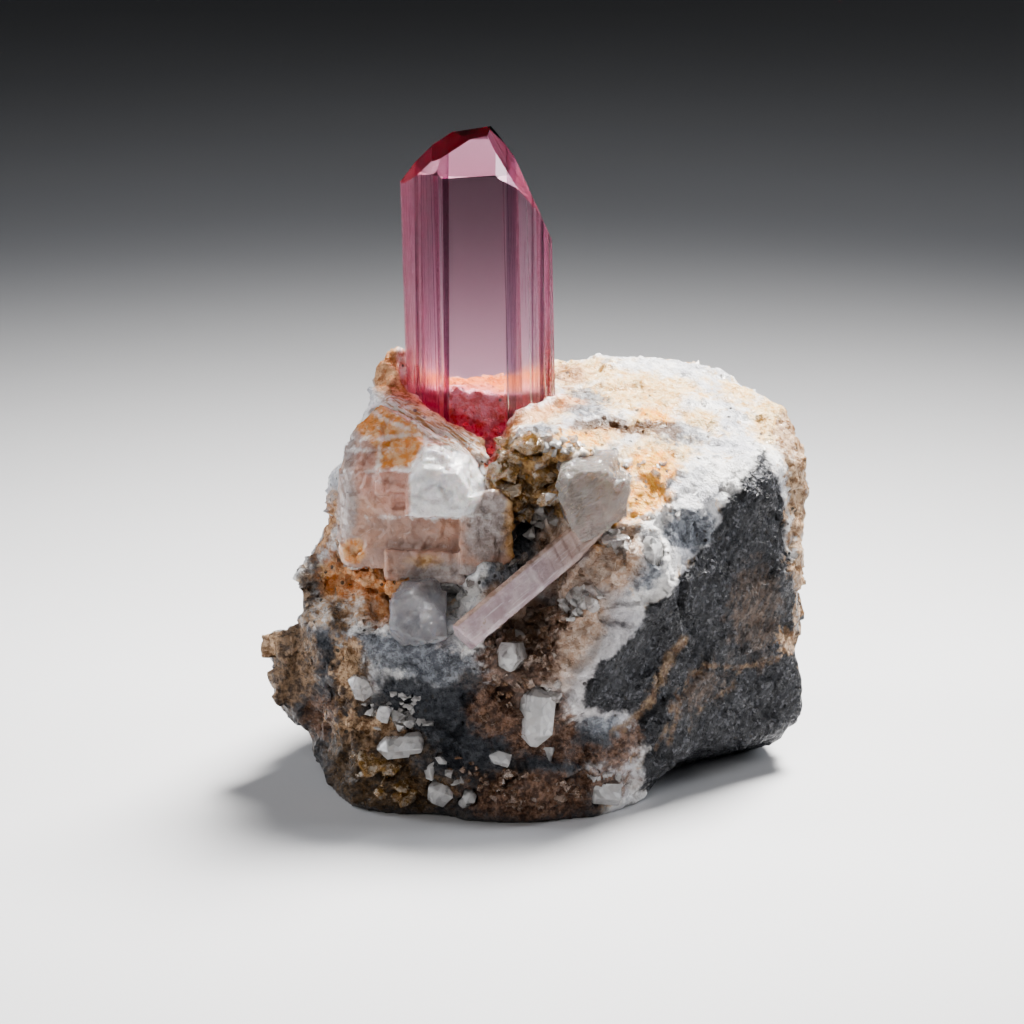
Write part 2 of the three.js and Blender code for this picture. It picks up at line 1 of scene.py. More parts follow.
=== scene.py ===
# A pink topaz crystal on its matrix: broken white marble and dark schist with calcite and small quartz.
# The rock and the calcite are modelled as distance fields around the frame's solids, in millimetres.
# Pixel coordinates are those of a picture 1024 pixels wide, taken by the camera that this script sets up.
import math

import bmesh
import bpy
import numpy as np
import openvdb
from mathutils import Matrix, Vector
from mathutils.bvhtree import BVHTree


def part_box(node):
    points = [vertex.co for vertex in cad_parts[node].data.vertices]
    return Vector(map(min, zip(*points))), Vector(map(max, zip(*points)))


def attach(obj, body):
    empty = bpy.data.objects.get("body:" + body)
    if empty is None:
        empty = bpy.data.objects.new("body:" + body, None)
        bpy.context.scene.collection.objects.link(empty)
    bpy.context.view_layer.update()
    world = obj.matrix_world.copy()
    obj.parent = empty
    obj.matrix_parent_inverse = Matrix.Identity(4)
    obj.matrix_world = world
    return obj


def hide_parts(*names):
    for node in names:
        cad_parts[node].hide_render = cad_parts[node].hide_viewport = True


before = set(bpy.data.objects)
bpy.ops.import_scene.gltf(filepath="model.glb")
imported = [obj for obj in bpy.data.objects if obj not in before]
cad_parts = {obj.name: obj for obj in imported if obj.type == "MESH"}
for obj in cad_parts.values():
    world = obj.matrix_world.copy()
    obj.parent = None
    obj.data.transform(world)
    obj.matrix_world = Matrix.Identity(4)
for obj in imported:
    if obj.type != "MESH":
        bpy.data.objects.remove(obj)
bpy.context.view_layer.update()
MM = 0.001

PICTURE = 1024
FOCAL_PX = 5000
SENSOR = 36.0
TILT = math.radians(17)
CAMERA = np.array([-1.89, -423.94, 152.48])
FORWARD = np.array([0, math.cos(TILT), -math.sin(TILT)])
UP = np.array([0, math.sin(TILT), math.cos(TILT)])
RIGHT = np.array([1.0, 0, 0])
PIXEL = 0.088  # millimetres that a pixel spans at the front of the specimen
SPECIMEN_AWAY = 440.0  # millimetres from the camera to the specimen

ROCK_CELL = 0.30
ROCK_REACH = 2.6  # how far from the surface the rock's distances are kept
ROCK_TRIANGLES = 192000
BLOCK_CELL = 0.2
SEAT_FILL = 0.42  # how far the rock closes in on the crystals that it holds
SEAT_REACH = 1.4


# Meshes in and out of numpy, in millimetres

def vertices_of(mesh):
    co = np.empty(len(mesh.vertices) * 3, np.float32)
    mesh.vertices.foreach_get("co", co)
    return co.reshape(-1, 3).astype(float)


def normals_of(mesh):
    out = np.empty(len(mesh.vertices) * 3, np.float32)
    mesh.vertex_normals.foreach_get("vector", out)
    return out.reshape(-1, 3).astype(float)


def triangles_of(mesh):
    mesh.calc_loop_triangles()
    out = np.empty(len(mesh.loop_triangles) * 3, np.int32)
    mesh.loop_triangles.foreach_get("vertices", out)
    return out.reshape(-1, 3)


def set_vertices(mesh, points):
    mesh.vertices.foreach_set("co", np.asarray(points, np.float32).ravel())
    mesh.update()


def linked(name, data):
    made = bpy.data.objects.new(name, data)
    bpy.context.scene.collection.objects.link(made)
    return made


def new_object(name, points, faces):
    """A mesh object from points in millimetres."""
    mesh = bpy.data.meshes.new(name)
    mesh.from_pydata((np.asarray(points) * MM).tolist(), [], np.asarray(faces).tolist())
    mesh.update()
    return linked(name, mesh)


def object_of(bm, name):
    mesh = bpy.data.meshes.new(name)
    bm.to_mesh(mesh)
    bm.free()
    return linked(name, mesh)


def solid_of(*names):
    """The points and triangles of the frame's nodes, in millimetres."""
    points, faces, start = [], [], 0
    for name in names:
        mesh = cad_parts[name].data
        points.append(vertices_of(mesh) / MM)
        faces.append(triangles_of(mesh) + start)
        start += len(points[-1])
    return np.vstack(points), np.vstack(faces)


def attribute(obj, name, values):
    layer = obj.data.attributes.new(name, "FLOAT", "POINT")
    layer.data.foreach_set("value", np.asarray(values, np.float32))


def finish_piece(obj, material, slot, *nodes, smooth=True):
    obj.data.materials.clear()
    obj.data.materials.append(material)
    obj.data.polygons.foreach_set("use_smooth", [smooth] * len(obj.data.polygons))
    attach(obj, "root")
    if nodes:
        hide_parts(*nodes)
    return obj


# Noise, the same on every run

def lattice(ix, iy, iz, seed):
    h = (ix * 374761393) ^ (iy * 668265263) ^ (iz * 1274126177) ^ (seed * 974711)
    h = (h ^ (h >> 13)) * 1103515245
    h = (h ^ (h >> 16)) & 0xFFFFFFFF
    return h / 4294967295.0


def noise(points, size, seed, octaves=1):
    """Smooth noise from -1 to 1 with lumps of the given size."""
    total = np.zeros(len(points))
    weight = 1.0
    reach = 0.0
    for octave in range(octaves):
        p = points / size * 2**octave
        base = np.floor(p).astype(np.int64)
        f = p - base
        f = f * f * (3 - 2 * f)
        for corner in range(8):
            c = (corner & 1, (corner >> 1) & 1, corner >> 2)
            share = np.ones(len(points))
            for axis in range(3):
                share = share * (f[:, axis] if c[axis] else 1 - f[:, axis])
            value = lattice(base[:, 0] + c[0], base[:, 1] + c[1], base[:, 2] + c[2], seed + octave)
            total += weight * share * (value * 2 - 1)
        reach += weight
        weight *= 0.5
    return total / reach


def nearest_cell(points, size, seed):
    """The centre of the irregular cell that each point is in, and its whole-number place."""
    p = points / size
    base = np.floor(p).astype(np.int64)
    best = np.full(len(points), 1e9)
    centre = np.zeros_like(p)
    place = np.zeros_like(base)
    for dx in (-1, 0, 1):
        for dy in (-1, 0, 1):
            for dz in (-1, 0, 1):
                cell = base + (dx, dy, dz)
                jitter = [lattice(cell[:, 0], cell[:, 1], cell[:, 2], seed + k) for k in range(3)]
                at = cell + np.stack(jitter, axis=1)
                far = ((at - p) ** 2).sum(axis=1)
                closer = far < best
                best = np.where(closer, far, best)
                centre[closer] = at[closer]
                place[closer] = cell[closer]
    return centre * size, place


def facets(points, size, seed, tilt=0.35, step=0.12):
    """Broken faces: in each cell a plane with a slope and a height of its own."""
    centre, place = nearest_cell(points, size, seed)
    slope = [lattice(place[:, 0], place[:, 1], place[:, 2], seed + 11 + k) * 2 - 1 for k in range(3)]
    height = lattice(place[:, 0], place[:, 1], place[:, 2], seed + 17) * 2 - 1
    return tilt * ((points - centre) * np.stack(slope, axis=1)).sum(axis=1) + step * size * height


def smoothstep(low, high, value):
    t = np.clip((value - low) / (high - low), 0, 1)
    return t * t * (3 - 2 * t)


# Where things are in the picture

def seen_at(points):
    d = points - CAMERA
    depth = d @ FORWARD
    return np.stack([PICTURE / 2 + FOCAL_PX * (d @ RIGHT) / depth,
                     PICTURE / 2 - FOCAL_PX * (d @ UP) / depth], axis=1)


def sight(px, py):
    """The direction from the camera through a pixel."""
    d = FORWARD + RIGHT * (px - PICTURE / 2) / FOCAL_PX - UP * (py - PICTURE / 2) / FOCAL_PX
    return d / np.linalg.norm(d)


def tree_of(*names):
    points, faces = solid_of(*names)
    return BVHTree.FromPolygons(points.tolist(), faces.tolist())


ROCK_TREE = tree_of("matrix_rock")
WHOLE_TREE = tree_of(*[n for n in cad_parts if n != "topaz_crystal"])
TOPAZ_TREE = tree_of("topaz_crystal")


def on(tree, px, py):
    """The point of a surface that shows at a pixel, or the nearest one, and its normal, in millimetres."""
    hit, normal, _, _ = tree.ray_cast(Vector(CAMERA), Vector(sight(px, py)))
    if hit is None:
        hit, normal, _, _ = tree.find_nearest(Vector(CAMERA + sight(px, py) * SPECIMEN_AWAY))
    return np.array(hit), np.array(normal)


def place_in(area, rng):
    """A pixel drawn at random in an ellipse, given by its centre, half width and half height."""
    x, y, half_width, half_height = area
    angle, reach = rng.uniform(0, 2 * math.pi), math.sqrt(rng.uniform())
    return x + half_width * reach * math.cos(angle), y + half_height * reach * math.sin(angle)


# Distance fields

class Field:
    """Signed distances on a regular grid, in millimetres, negative inside."""

    def __init__(self, points, faces, cell, reach, margin):
        self.cell = cell
        self.reach = reach
        self.low = np.floor((points.min(axis=0) - margin) / cell).astype(int)
        high = np.ceil((points.max(axis=0) + margin) / cell).astype(int)
        self.shape = tuple(high - self.low + 1)
        self.d = self.sampled(points, faces)

    def sampled(self, points, faces):
        transform = openvdb.createLinearTransform(voxelSize=self.cell)
        grid = openvdb.FloatGrid.createLevelSetFromPolygons(
            np.ascontiguousarray(points, np.float32), triangles=np.ascontiguousarray(faces, np.uint32),
            transform=transform, halfWidth=self.reach / self.cell)
        values = np.empty(self.shape, np.float32)
        grid.copyToArray(values, ijk=tuple(int(v) for v in self.low))
        return values

    def window(self, centre, radius):
        """The slices around a point, and the grid points in them."""
        lo = np.maximum(np.floor((centre - radius) / self.cell).astype(int) - self.low, 0)
        hi = np.minimum(np.ceil((centre + radius) / self.cell).astype(int) - self.low + 1, self.shape)
        cut = tuple(slice(a, b) for a, b in zip(lo, hi))
        axes = [(np.arange(a, b) + shift) * self.cell for a, b, shift in zip(lo, hi, self.low)]
        return cut, np.stack(np.meshgrid(*axes, indexing="ij"), axis=-1)

    def ball(self, centre, radius, add=True, blend=0.4):
        cut, p = self.window(centre, radius + 2 * blend + 0.5)
        self.join(cut, np.sqrt(((p - centre) ** 2).sum(axis=-1)) - radius, add, blend)

    def tube(self, points, radii, add=True, blend=0.4):
        """A round bar along a line through points, with a radius at each."""
        points, radii = np.asarray(points, float), np.asarray(radii, float)
        middle = (points.min(axis=0) + points.max(axis=0)) / 2
        cut, p = self.window(middle, np.abs(points - middle).max() + radii.max() + 2 * blend + 0.5)
        d = np.full(p.shape[:-1], 1e9)
        for a, b, ra, rb in zip(points, points[1:], radii, radii[1:]):
            t = np.clip((p - a) @ (b - a) / ((b - a) @ (b - a)), 0, 1)
            away = np.sqrt(((p - a - t[..., None] * (b - a)) ** 2).sum(axis=-1))
            d = np.minimum(d, away - ra - t * (rb - ra))
        self.join(cut, d, add, blend)

    def join(self, cut, d, add, blend):
        """Adds a shape to the field, or takes it away, with a rounded seam."""
        sign = 1 if add else -1
        here = sign * self.d[cut]
        share = np.maximum(blend - np.abs(here - d), 0) / blend
        self.d[cut] = sign * (np.minimum(here, d) - share * share * blend / 4)

    def surface(self, name):
        grid = openvdb.FloatGrid(self.reach)
        grid.transform = openvdb.createLinearTransform(voxelSize=self.cell)
        grid.copyFromArray(np.ascontiguousarray(self.d, np.float32), ijk=tuple(int(v) for v in self.low))
        points, _, quads = grid.convertToPolygons(isovalue=0.0, adaptivity=0.0)
        return new_object(name, points, quads[:, ::-1])


def facing_out(obj):
    """Turns the faces of a closed mesh outwards, keeping only its largest body."""
    bm = bmesh.new()
    bm.from_mesh(obj.data)
    keep_largest(bm)
    bmesh.ops.recalc_face_normals(bm, faces=bm.faces)
    bm.to_mesh(obj.data)
    bm.free()
    obj.data.update()
    return obj


def keep_largest(bm):
    seen = set()
    groups = []
    for start in bm.verts:
        if start in seen:
            continue
        seen.add(start)
        group, todo = [start], [start]
        while todo:
            for edge in todo.pop().link_edges:
                for v in edge.verts:
                    if v not in seen:
                        seen.add(v)
                        group.append(v)
                        todo.append(v)
        groups.append(group)
    groups.sort(key=len)
    for group in groups[:-1]:
        bmesh.ops.delete(bm, geom=group, context="VERTS")


def apply_modifier(obj, kind, **settings):
    modifier = obj.modifiers.new(kind, kind)
    for key, value in settings.items():
        setattr(modifier, key, value)
    graph = bpy.context.evaluated_depsgraph_get()
    made = bpy.data.meshes.new_from_object(obj.evaluated_get(graph))
    obj.modifiers.remove(modifier)
    old = obj.data
    obj.data = made
    bpy.data.meshes.remove(old)


# Node materials, with coordinates in millimetres

class Shader:
    def __init__(self, name, **values):
        self.material = bpy.data.materials.new(name)
        self.material.use_nodes = True
        self.tree = self.material.node_tree
        self.bsdf = self.tree.nodes["Principled BSDF"]
        self.output = self.tree.nodes["Material Output"]
        for key, value in values.items():
            self.bsdf.inputs[key.replace("_", " ")].default_value = value
        self.made = {}
        coords = self.node("ShaderNodeTexCoord").outputs["Object"]
        self.place = self.vector("SCALE", coords, scale=1 / MM)

    def node(self, kind, **settings):
        made = self.tree.nodes.new(kind)
        for key, value in settings.items():
            setattr(made, key, value)
        return made

    def put(self, socket, value):
        if isinstance(value, bpy.types.NodeSocket):
            self.tree.links.new(value, socket)
        elif socket.type == "RGBA" and len(value) == 3:
            socket.default_value = (*value, 1)
        else:
            socket.default_value = value

    def set(self, name, value):
        self.put(self.bsdf.inputs[name], value)

    def wired(self, kind, values, **settings):
        """A node whose inputs, by name or number, are set or linked. An input that is None stays as it is."""
        made = self.node(kind, **settings)
        for socket, value in values.items():
            if value is not None:
                self.put(made.inputs[socket], value)
        return made

    def vector(self, operation, a, b=None, scale=None):
        values = {0: a, 1: b, "Scale": scale}
        return self.wired("ShaderNodeVectorMath", values, operation=operation).outputs[0]

    def math(self, operation, a, b=0.0, clamp=False):
        return self.wired("ShaderNodeMath", {0: a, 1: b}, operation=operation, use_clamp=clamp).outputs[0]

    def times(self, a, b):
        return self.math("MULTIPLY", a, b)

    def along(self, direction, length):
        """The place in a frame whose Z runs along a direction, drawn out along it, for fibres and streaks."""
        turn = Vector(direction).to_track_quat("Z", "Y").to_euler()
        values = {"Vector": self.place, "Rotation": turn, "Scale": (1, 1, length)}
        return self.wired("ShaderNodeMapping", values, vector_type="TEXTURE").outputs[0]

    def noise(self, size, detail=4.0, rough=0.55, place=None, warp=0.0):
        """A noise texture, made once for each set of values."""
        key = (size, detail, rough, place and place.node.name, warp)
        if key not in self.made:
            values = {"Vector": place or self.place, "Scale": 1 / size, "Detail": detail,
                      "Roughness": rough, "Distortion": warp}
            self.made[key] = self.wired("ShaderNodeTexNoise", values).outputs[0]
        return self.made[key]

    def cells(self, size):
        """A texture of irregular grains, made once for each size."""
        if size not in self.made:
            values = {"Vector": self.place, "Scale": 1 / size}
            self.made[size] = self.wired("ShaderNodeTexVoronoi", values)
        return self.made[size]

    def attribute(self, name):
        return self.node("ShaderNodeAttribute", attribute_name=name).outputs["Fac"]

    def ramp(self, value, low, high, a=0.0, b=1.0):
        values = dict(enumerate((value, low, high, a, b)))
        return self.wired("ShaderNodeMapRange", values, interpolation_type="SMOOTHSTEP").outputs[0]

    def mix(self, share, a, b):
        return self.wired("ShaderNodeMix", {0: share, 6: a, 7: b}, data_type="RGBA").outputs[2]

    def speckled(self, texture, a, b):
        """Two colours that follow a noise texture."""
        return self.mix(self.ramp(texture, 0.4, 0.6), a, b)

    def blend(self, share, a, b):
        return self.wired("ShaderNodeMix", {0: share, 2: a, 3: b}, data_type="FLOAT").outputs[0]

    def inside(self, name, ragged=1.0, size=1.5, soft=0.5):
        """Where an attribute is above zero, with an edge that noise makes ragged."""
        wander = self.times(self.math("SUBTRACT", self.noise(size, 3.0, 0.62), 0.5), 4 * ragged)
        return self.ramp(self.math("ADD", self.attribute(name), wander), -soft, soft)

    def bump(self, height, distance, normal=None):
        values = {"Height": height, "Distance": distance * MM, "Strength": 1.0, "Normal": normal}
        return self.wired("ShaderNodeBump", values).outputs[0]

    def glints(self, size, strength, share, normal=None):
        """A normal that leans another way in each small grain, over a share of the surface."""
        grain = self.cells(size).outputs["Color"]
        lean = self.vector("SUBTRACT", grain, (0.5, 0.5, 0.5))
        leant = self.vector("SCALE", lean, scale=self.times(share, 2 * strength))
        base = normal if normal is not None else self.node("ShaderNodeNewGeometry").outputs["Normal"]
        return self.vector("NORMALIZE", self.vector("ADD", base, leant))


# Patches of colour that the front shows: centre, half width and half height in pixels, and turn in degrees

ROCK_PATCHES = {
    "cream": [(640, 392, 56, 20), (590, 372, 40, 14), (575, 398, 30, 12, -20), (652, 420, 22, 12),
              (776, 420, 28, 26, 40), (660, 452, 38, 18), (590, 440, 44, 12, -12), (740, 392, 30, 10, 20),
              (320, 590, 20, 30), (700, 420, 26, 10, 20), (545, 410, 24, 14, -20), (480, 376, 66, 26)],
    "gold": [(648, 494, 22, 18), (652, 467, 25, 18), (580, 437, 30, 8, -8), (606, 526, 8, 18, 30),
             (655, 417, 16, 11), (612, 500, 7, 20, 12), (636, 512, 14, 9, -30), (600, 470, 16, 12, 20),
             (540, 408, 18, 8, -30), (480, 378, 50, 16)],
    "ochre": [(512, 474, 26, 26), (505, 448, 15, 15), (540, 492, 24, 16, 25), (497, 430, 9, 14, 30),
              (617, 487, 7, 26, 14), (531, 452, 16, 14, 30), (520, 505, 20, 22), (560, 500, 14, 20),
              (560, 470, 16, 20)],
    "brown": [(388, 372, 18, 24), (400, 394, 18, 12, 30), (424, 404, 30, 9, 35), (452, 424, 32, 12, 38),
              (474, 442, 18, 14, 40), (568, 374, 20, 10), (505, 425, 10, 14, -30), (330, 520, 9, 30, 14),
              (620, 428, 40, 6, 4)],
    "peach": [(612, 555, 30, 40, 20), (575, 640, 20, 54, 30), (520, 618, 40, 28, 30), (560, 575, 34, 24),
              (560, 540, 28, 20)],
    "tan": [(799, 486, 11, 82), (792, 436, 16, 26), (804, 580, 8, 50), (268, 645, 10, 12),
            (347, 664, 11, 24), (366, 724, 30, 8, 10), (790, 640, 12, 12)],
    "bark": [(282, 660, 36, 46), (352, 680, 18, 34), (372, 734, 42, 18, 10), (804, 640, 12, 90),
             (336, 620, 8, 20), (306, 600, 6, 30)],
    "rust": [(520, 660, 40, 34), (508, 706, 40, 30, -20), (545, 628, 28, 16, -40), (530, 796, 64, 24),
             (604, 782, 30, 14), (616, 758, 24, 12, -20), (636, 738, 26, 14, -30), (560, 730, 18, 30),
             (590, 756, 22, 10), (797, 588, 8, 28), (322, 716, 18, 20), (345, 545, 10, 22, 20),
             (395, 620, 12, 6), (530, 740, 24, 16), (306, 660, 8, 24)],
    "mottle": [(756, 612, 24, 44), (700, 690, 30, 12, -40)],
    "grey": [(583, 402, 24, 14, -10), (676, 434, 26, 11, 10), (690, 530, 30, 22, 20), (395, 652, 56, 20, 8),
             (440, 668, 50, 22, 10), (322, 622, 26, 24), (500, 580, 16, 32), (598, 735, 42, 18),
             (308, 600, 16, 54, 10), (520, 560, 32, 32), (580, 606, 22, 16), (540, 432, 18, 10),
             (640, 560, 24, 30)],
    "smoke": [(446, 728, 74, 44, 12), (410, 696, 44, 18, 20), (560, 756, 42, 24, -25), (318, 640, 22, 8, 20),
              (592, 744, 26, 10), (524, 534, 13, 30, 10)],
    "umber": [(374, 776, 44, 34), (410, 790, 48, 20), (350, 752, 22, 24), (395, 745, 34, 12, 10)],
    "silk": [(434, 424, 62, 12, 29)],
    "wedge": [(334, 612, 40, 15, -8)],
    "porous": [(372, 582, 54, 40, 20)],
    "milky": [(420, 652, 64, 14, 10), (590, 640, 38, 66, 25), (553, 690, 13, 32), (600, 700, 36, 20, -30)],
}

# Patches with straight edges, by their corners in pixels
CORNERED = {
    "cloud": [(410, 470), (421, 446), (458, 446), (490, 470), (486, 484), (470, 517), (409, 518)],
    "stain": [(352, 424), (368, 404), (386, 402), (424, 430), (428, 452), (420, 468), (380, 470), (374, 446)],
    "shade": [(466, 492), (480, 480), (500, 482), (512, 500), (512, 552), (480, 566), (464, 544)],
    "amber": [(506, 490), (518, 500), (518, 562), (505, 556)],
}

SCHIST_EDGE = [(763, 450), (748, 470), (737, 490), (722, 513), (712, 540), (685, 568), (664, 595), (648, 604),
               (640, 626), (632, 638), (616, 650), (598, 668), (580, 696), (586, 709), (606, 713), (628, 714),
               (640, 728), (646, 745), (640, 790), (840, 790), (840, 600), (793, 585), (787, 540), (783, 490)]
SCHIST_POINT = np.array([21.0, -2.0, 27.0])  # on the flat boundary between marble and schist
SCHIST_SIDE = np.array([0.78, 0.1, -0.62])
SCHIST_GRAIN = (0.5, 0.2, 0.84)  # the way that its streaks run
GRAIN_SIZE = 0.24

# Painted shade: the low part of the front that is painted dark, and the height below which the other sides are
# painted dark, in millimetres
PAINTED_SHADE_EDGE = [(230, 612), (300, 634), (336, 632), (352, 668), (372, 688), (404, 682), (440, 690), (470, 668),
             (500, 690), (520, 716), (540, 744), (572, 752), (592, 772), (610, 800), (600, 860), (230, 860)]
PAINTED_SHADE_HEIGHT = 7.0

# Light veins in the schist: pixels along each, then its half width in millimetres
VEINS = [
    ([(616, 730), (634, 718), (648, 704), (658, 684), (664, 668), (676, 650), (684, 640)], 0.36),
    ([(668, 745), (676, 722), (680, 705), (686, 680), (706, 666), (736, 668), (760, 664), (778, 658)], 0.1),
    ([(690, 730), (698, 712), (712, 700), (730, 688), (737, 674)], 0.1),
    ([(655, 750), (664, 732), (670, 712), (676, 690)], 0.08),
]
HAIRLINE = [(667, 560), (678, 610), (684, 640)]
CRACK = [(578, 424), (590, 426), (602, 421), (614, 423), (630, 429), (645, 425), (660, 427), (676, 430)]
CRACK_RADII = [0.15, 0.45, 0.35, 0.6, 0.5, 0.55, 0.35, 0.15]


def ellipse_depth(seen, x, y, half_width, half_height, turn=0):
    """How far inside an ellipse each pixel is, in millimetres, negative outside."""
    angle = math.radians(turn)
    dx, dy = seen[:, 0] - x, seen[:, 1] - y
    u = (dx * math.cos(angle) + dy * math.sin(angle)) / half_width
    v = (dy * math.cos(angle) - dx * math.sin(angle)) / half_height
    return (1 - np.hypot(u, v)) * min(half_width, half_height) * PIXEL


def line_distance(seen, line):
    """Pixels to the nearest point of a line."""
    best = np.full(len(seen), 1e9)
    for a, b in zip(line, line[1:]):
        a, b = np.array(a, float), np.array(b, float)
        t = np.clip(((seen - a) @ (b - a)) / ((b - a) @ (b - a)), 0, 1)
        best = np.minimum(best, np.linalg.norm(seen - a - t[:, None] * (b - a), axis=1))
    return best


def polygon_depth(seen, corners):
    """How far inside a polygon each pixel is, in millimetres, negative outside."""
    ring = corners + corners[:1]
    inside = np.zeros(len(seen), bool)
    for (x0, y0), (x1, y1) in zip(ring, ring[1:]):
        crosses = (seen[:, 1] < y0) != (seen[:, 1] < y1)
        if y0 != y1:
            inside ^= crosses & (seen[:, 0] < x0 + (seen[:, 1] - y0) * (x1 - x0) / (y1 - y0))
    return np.where(inside, 1, -1) * line_distance(seen, ring) * PIXEL


FAR_OUTSIDE = -6.0
FRONT_ROUNDS = 14


def facing_front(obj):
    """How far each vertex looks to the front, from 0 to 1, evened out over its neighbours."""
    edges = np.empty(len(obj.data.edges) * 2, np.int32)
    obj.data.edges.foreach_get("vertices", edges)
    a, b = edges.reshape(-1, 2).T
    count = len(obj.data.vertices)
    joined = np.bincount(a, minlength=count) + np.bincount(b, minlength=count) + 1
    facing = -(normals_of(obj.data) @ FORWARD)
    for _ in range(FRONT_ROUNDS):
        around = np.bincount(a, facing[b], count) + np.bincount(b, facing[a], count)
        facing = (facing + around) / joined
    return smoothstep(-0.25, 0.05, facing)


def paint(obj, patches):
    """Writes the depth in each named patch as an attribute, for the faces that look to the front."""
    points = vertices_of(obj.data) / MM
    seen = seen_at(points)
    front = facing_front(obj)
    for name, ellipses in patches.items():
        depth = np.max([ellipse_depth(seen, *ellipse) for ellipse in ellipses], axis=0)
        if name in CORNERED:
            depth = np.maximum(depth, polygon_depth(seen, CORNERED[name]))
        attribute(obj, name, np.clip(depth, FAR_OUTSIDE, 6) * front + FAR_OUTSIDE * (1 - front))
    return points, seen, front


# The rock

RIDGE = [(376, 392, 0.8), (398, 406, 1.15), (424, 420, 1.3), (450, 434, 1.2), (472, 447, 1.0), (486, 458, 0.6)]
RIDGE_WAY = np.array([0.80, -0.28, -0.53])  # the way that the silky ridge and its fibres run
KNOBS = [(334, 500, 0.75), (322, 520, 0.8), (312, 545, 1.0), (303, 575, 1.0), (298, 600, 0.9), (345, 545, 0.6),
         (618, 700, 0.9), (600, 424, 0.7), (540, 440, 1.0), (518, 436, 1.1), (505, 446, 0.9), (530, 456, 1.0),
         (556, 430, 0.9), (645, 545, 1.5), (610, 570, 1.7), (590, 600, 1.3), (625, 535, 1.2), (384, 366, 0.9),
         (392, 384, 0.8), (575, 372, 0.8), (350, 690, 0.9), (362, 770, 1.2), (392, 780, 1.1), (358, 740, 0.8),
         (380, 726, 0.8), (346, 660, 0.8), (700, 400, 0.6), (640, 385, 0.7), (735, 420, 0.6)]
HOLES = [(503, 463, 0.7), (536, 452, 0.5), (545, 478, 0.6), (526, 540, 1.7), (520, 522, 1.2), (533, 512, 0.9),
         (524, 556, 1.2), (408, 562, 0.9), (396, 572, 0.7), (350, 585, 0.8), (372, 553, 0.7), (342, 600, 0.6),
         (380, 620, 0.8), (790, 632, 0.8), (338, 700, 1.2), (330, 728, 1.0), (368, 712, 0.9), (512, 478, 0.6),
         (524, 492, 0.7), (556, 470, 0.6), (333, 660, 0.9), (420, 800, 0.7), (470, 700, 0.6)]
POROUS_AREA = (372, 585, 46, 36)
POROUS_PITS = 60
PIT_SEED = 5

# The notch between the ridge and the ochre lobes, in which the topaz shows down to its foot
NOTCH = [(396, 330), (402, 386), (420, 402), (440, 420), (463, 436), (480, 451), (488, 457), (496, 438),
         (507, 418), (522, 405), (537, 392), (560, 376), (564, 330)]
NOTCH_MIDDLE = np.array([-4.5, -4.0, 32.0])
NOTCH_REACH = 11.0
NOTCH_BACK = 2.4  # the y at which the notch ends, behind the topaz's front
NOTCH_SLOPE = 0.3
NOTCH_FLARE = (4, 10)  # how far ahead of its end the notch starts and stops widening


def rock_field():
    field = Field(*solid_of("matrix_rock"), ROCK_CELL, ROCK_REACH, ROCK_REACH + 0.4)
    beside = field.sampled(*solid_of(*[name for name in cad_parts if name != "matrix_rock"]))
    field.d -= SEAT_FILL * np.clip(1.6 * (1 - beside / SEAT_REACH), 0, 1)
    return field


def cut_notch(field):
    """Opens the rock in front of the topaz, wider towards the front."""
    cut, p = field.window(NOTCH_MIDDLE, NOTCH_REACH)
    flat = p.reshape(-1, 3)
    ahead = NOTCH_BACK - flat[:, 1]
    flare = np.clip(ahead, *NOTCH_FLARE) - NOTCH_FLARE[0]
    depth = polygon_depth(seen_at(flat), NOTCH) + NOTCH_SLOPE * flare
    opened = np.minimum(depth, ahead).reshape(p.shape[:-1])
    field.d[cut] = np.maximum(field.d[cut], np.clip(opened, -ROCK_REACH, ROCK_REACH))


def rock_details(field):
    cut_notch(field)
    ridge = [on(WHOLE_TREE, x, y)[0] + (0, 0.35 * r, -0.3 * r) for x, y, r in RIDGE]
    field.tube(ridge, [r for _, _, r in RIDGE], blend=0.5)
    for x, y, radius in KNOBS:
        at, normal = on(ROCK_TREE, x, y)
        field.ball(at - normal * radius * 0.45, radius, blend=0.5)
    for x, y, radius in HOLES:
        at, normal = on(ROCK_TREE, x, y)
        field.ball(at + normal * radius * 0.1, radius, add=False, blend=0.25)
    rng = np.random.default_rng(PIT_SEED)
    for _ in range(POROUS_PITS):
        at, _ = on(ROCK_TREE, *place_in(POROUS_AREA, rng))
        field.ball(at, rng.uniform(0.25, 0.75), add=False, blend=0.15)
    crack = [on(ROCK_TREE, x, y)[0] for x, y in CRACK]
    field.tube(crack, CRACK_RADII, add=False, blend=0.2)


def rock():
    field = rock_field()
    rock_details(field)
    made = facing_out(field.surface("matrix"))
    triangles = 2 * len(made.data.polygons)
    if triangles > ROCK_TRIANGLES:
        apply_modifier(made, "DECIMATE", ratio=ROCK_TRIANGLES / triangles)
    roughen_rock(made)
    paint_rock(made)
    return finish_piece(made, rock_material(), "rock", "matrix_rock")


def dark_depth(seen, front, edge, behind):
    """The depth inside an edge seen in the picture, which gives way to another measure behind."""
    return np.clip(polygon_depth(seen, edge) * front + behind * (1 - front), -4, 4)


def schist_depth(points, seen, front):
    behind = (points - SCHIST_POINT) @ SCHIST_SIDE + 1.6 * noise(points, 6.0, 7, 3)
    return dark_depth(seen, front, SCHIST_EDGE, behind)


# Painted shade: how far a point lies inside the low part of the rock that is painted near-black as shadow,
# darker towards the base
def painted_shade_depth(points, seen, front):
    behind = PAINTED_SHADE_HEIGHT - points[:, 2] + 5.0 * noise(points, 8.0, 17, 3)
    return dark_depth(seen, front, PAINTED_SHADE_EDGE, behind)


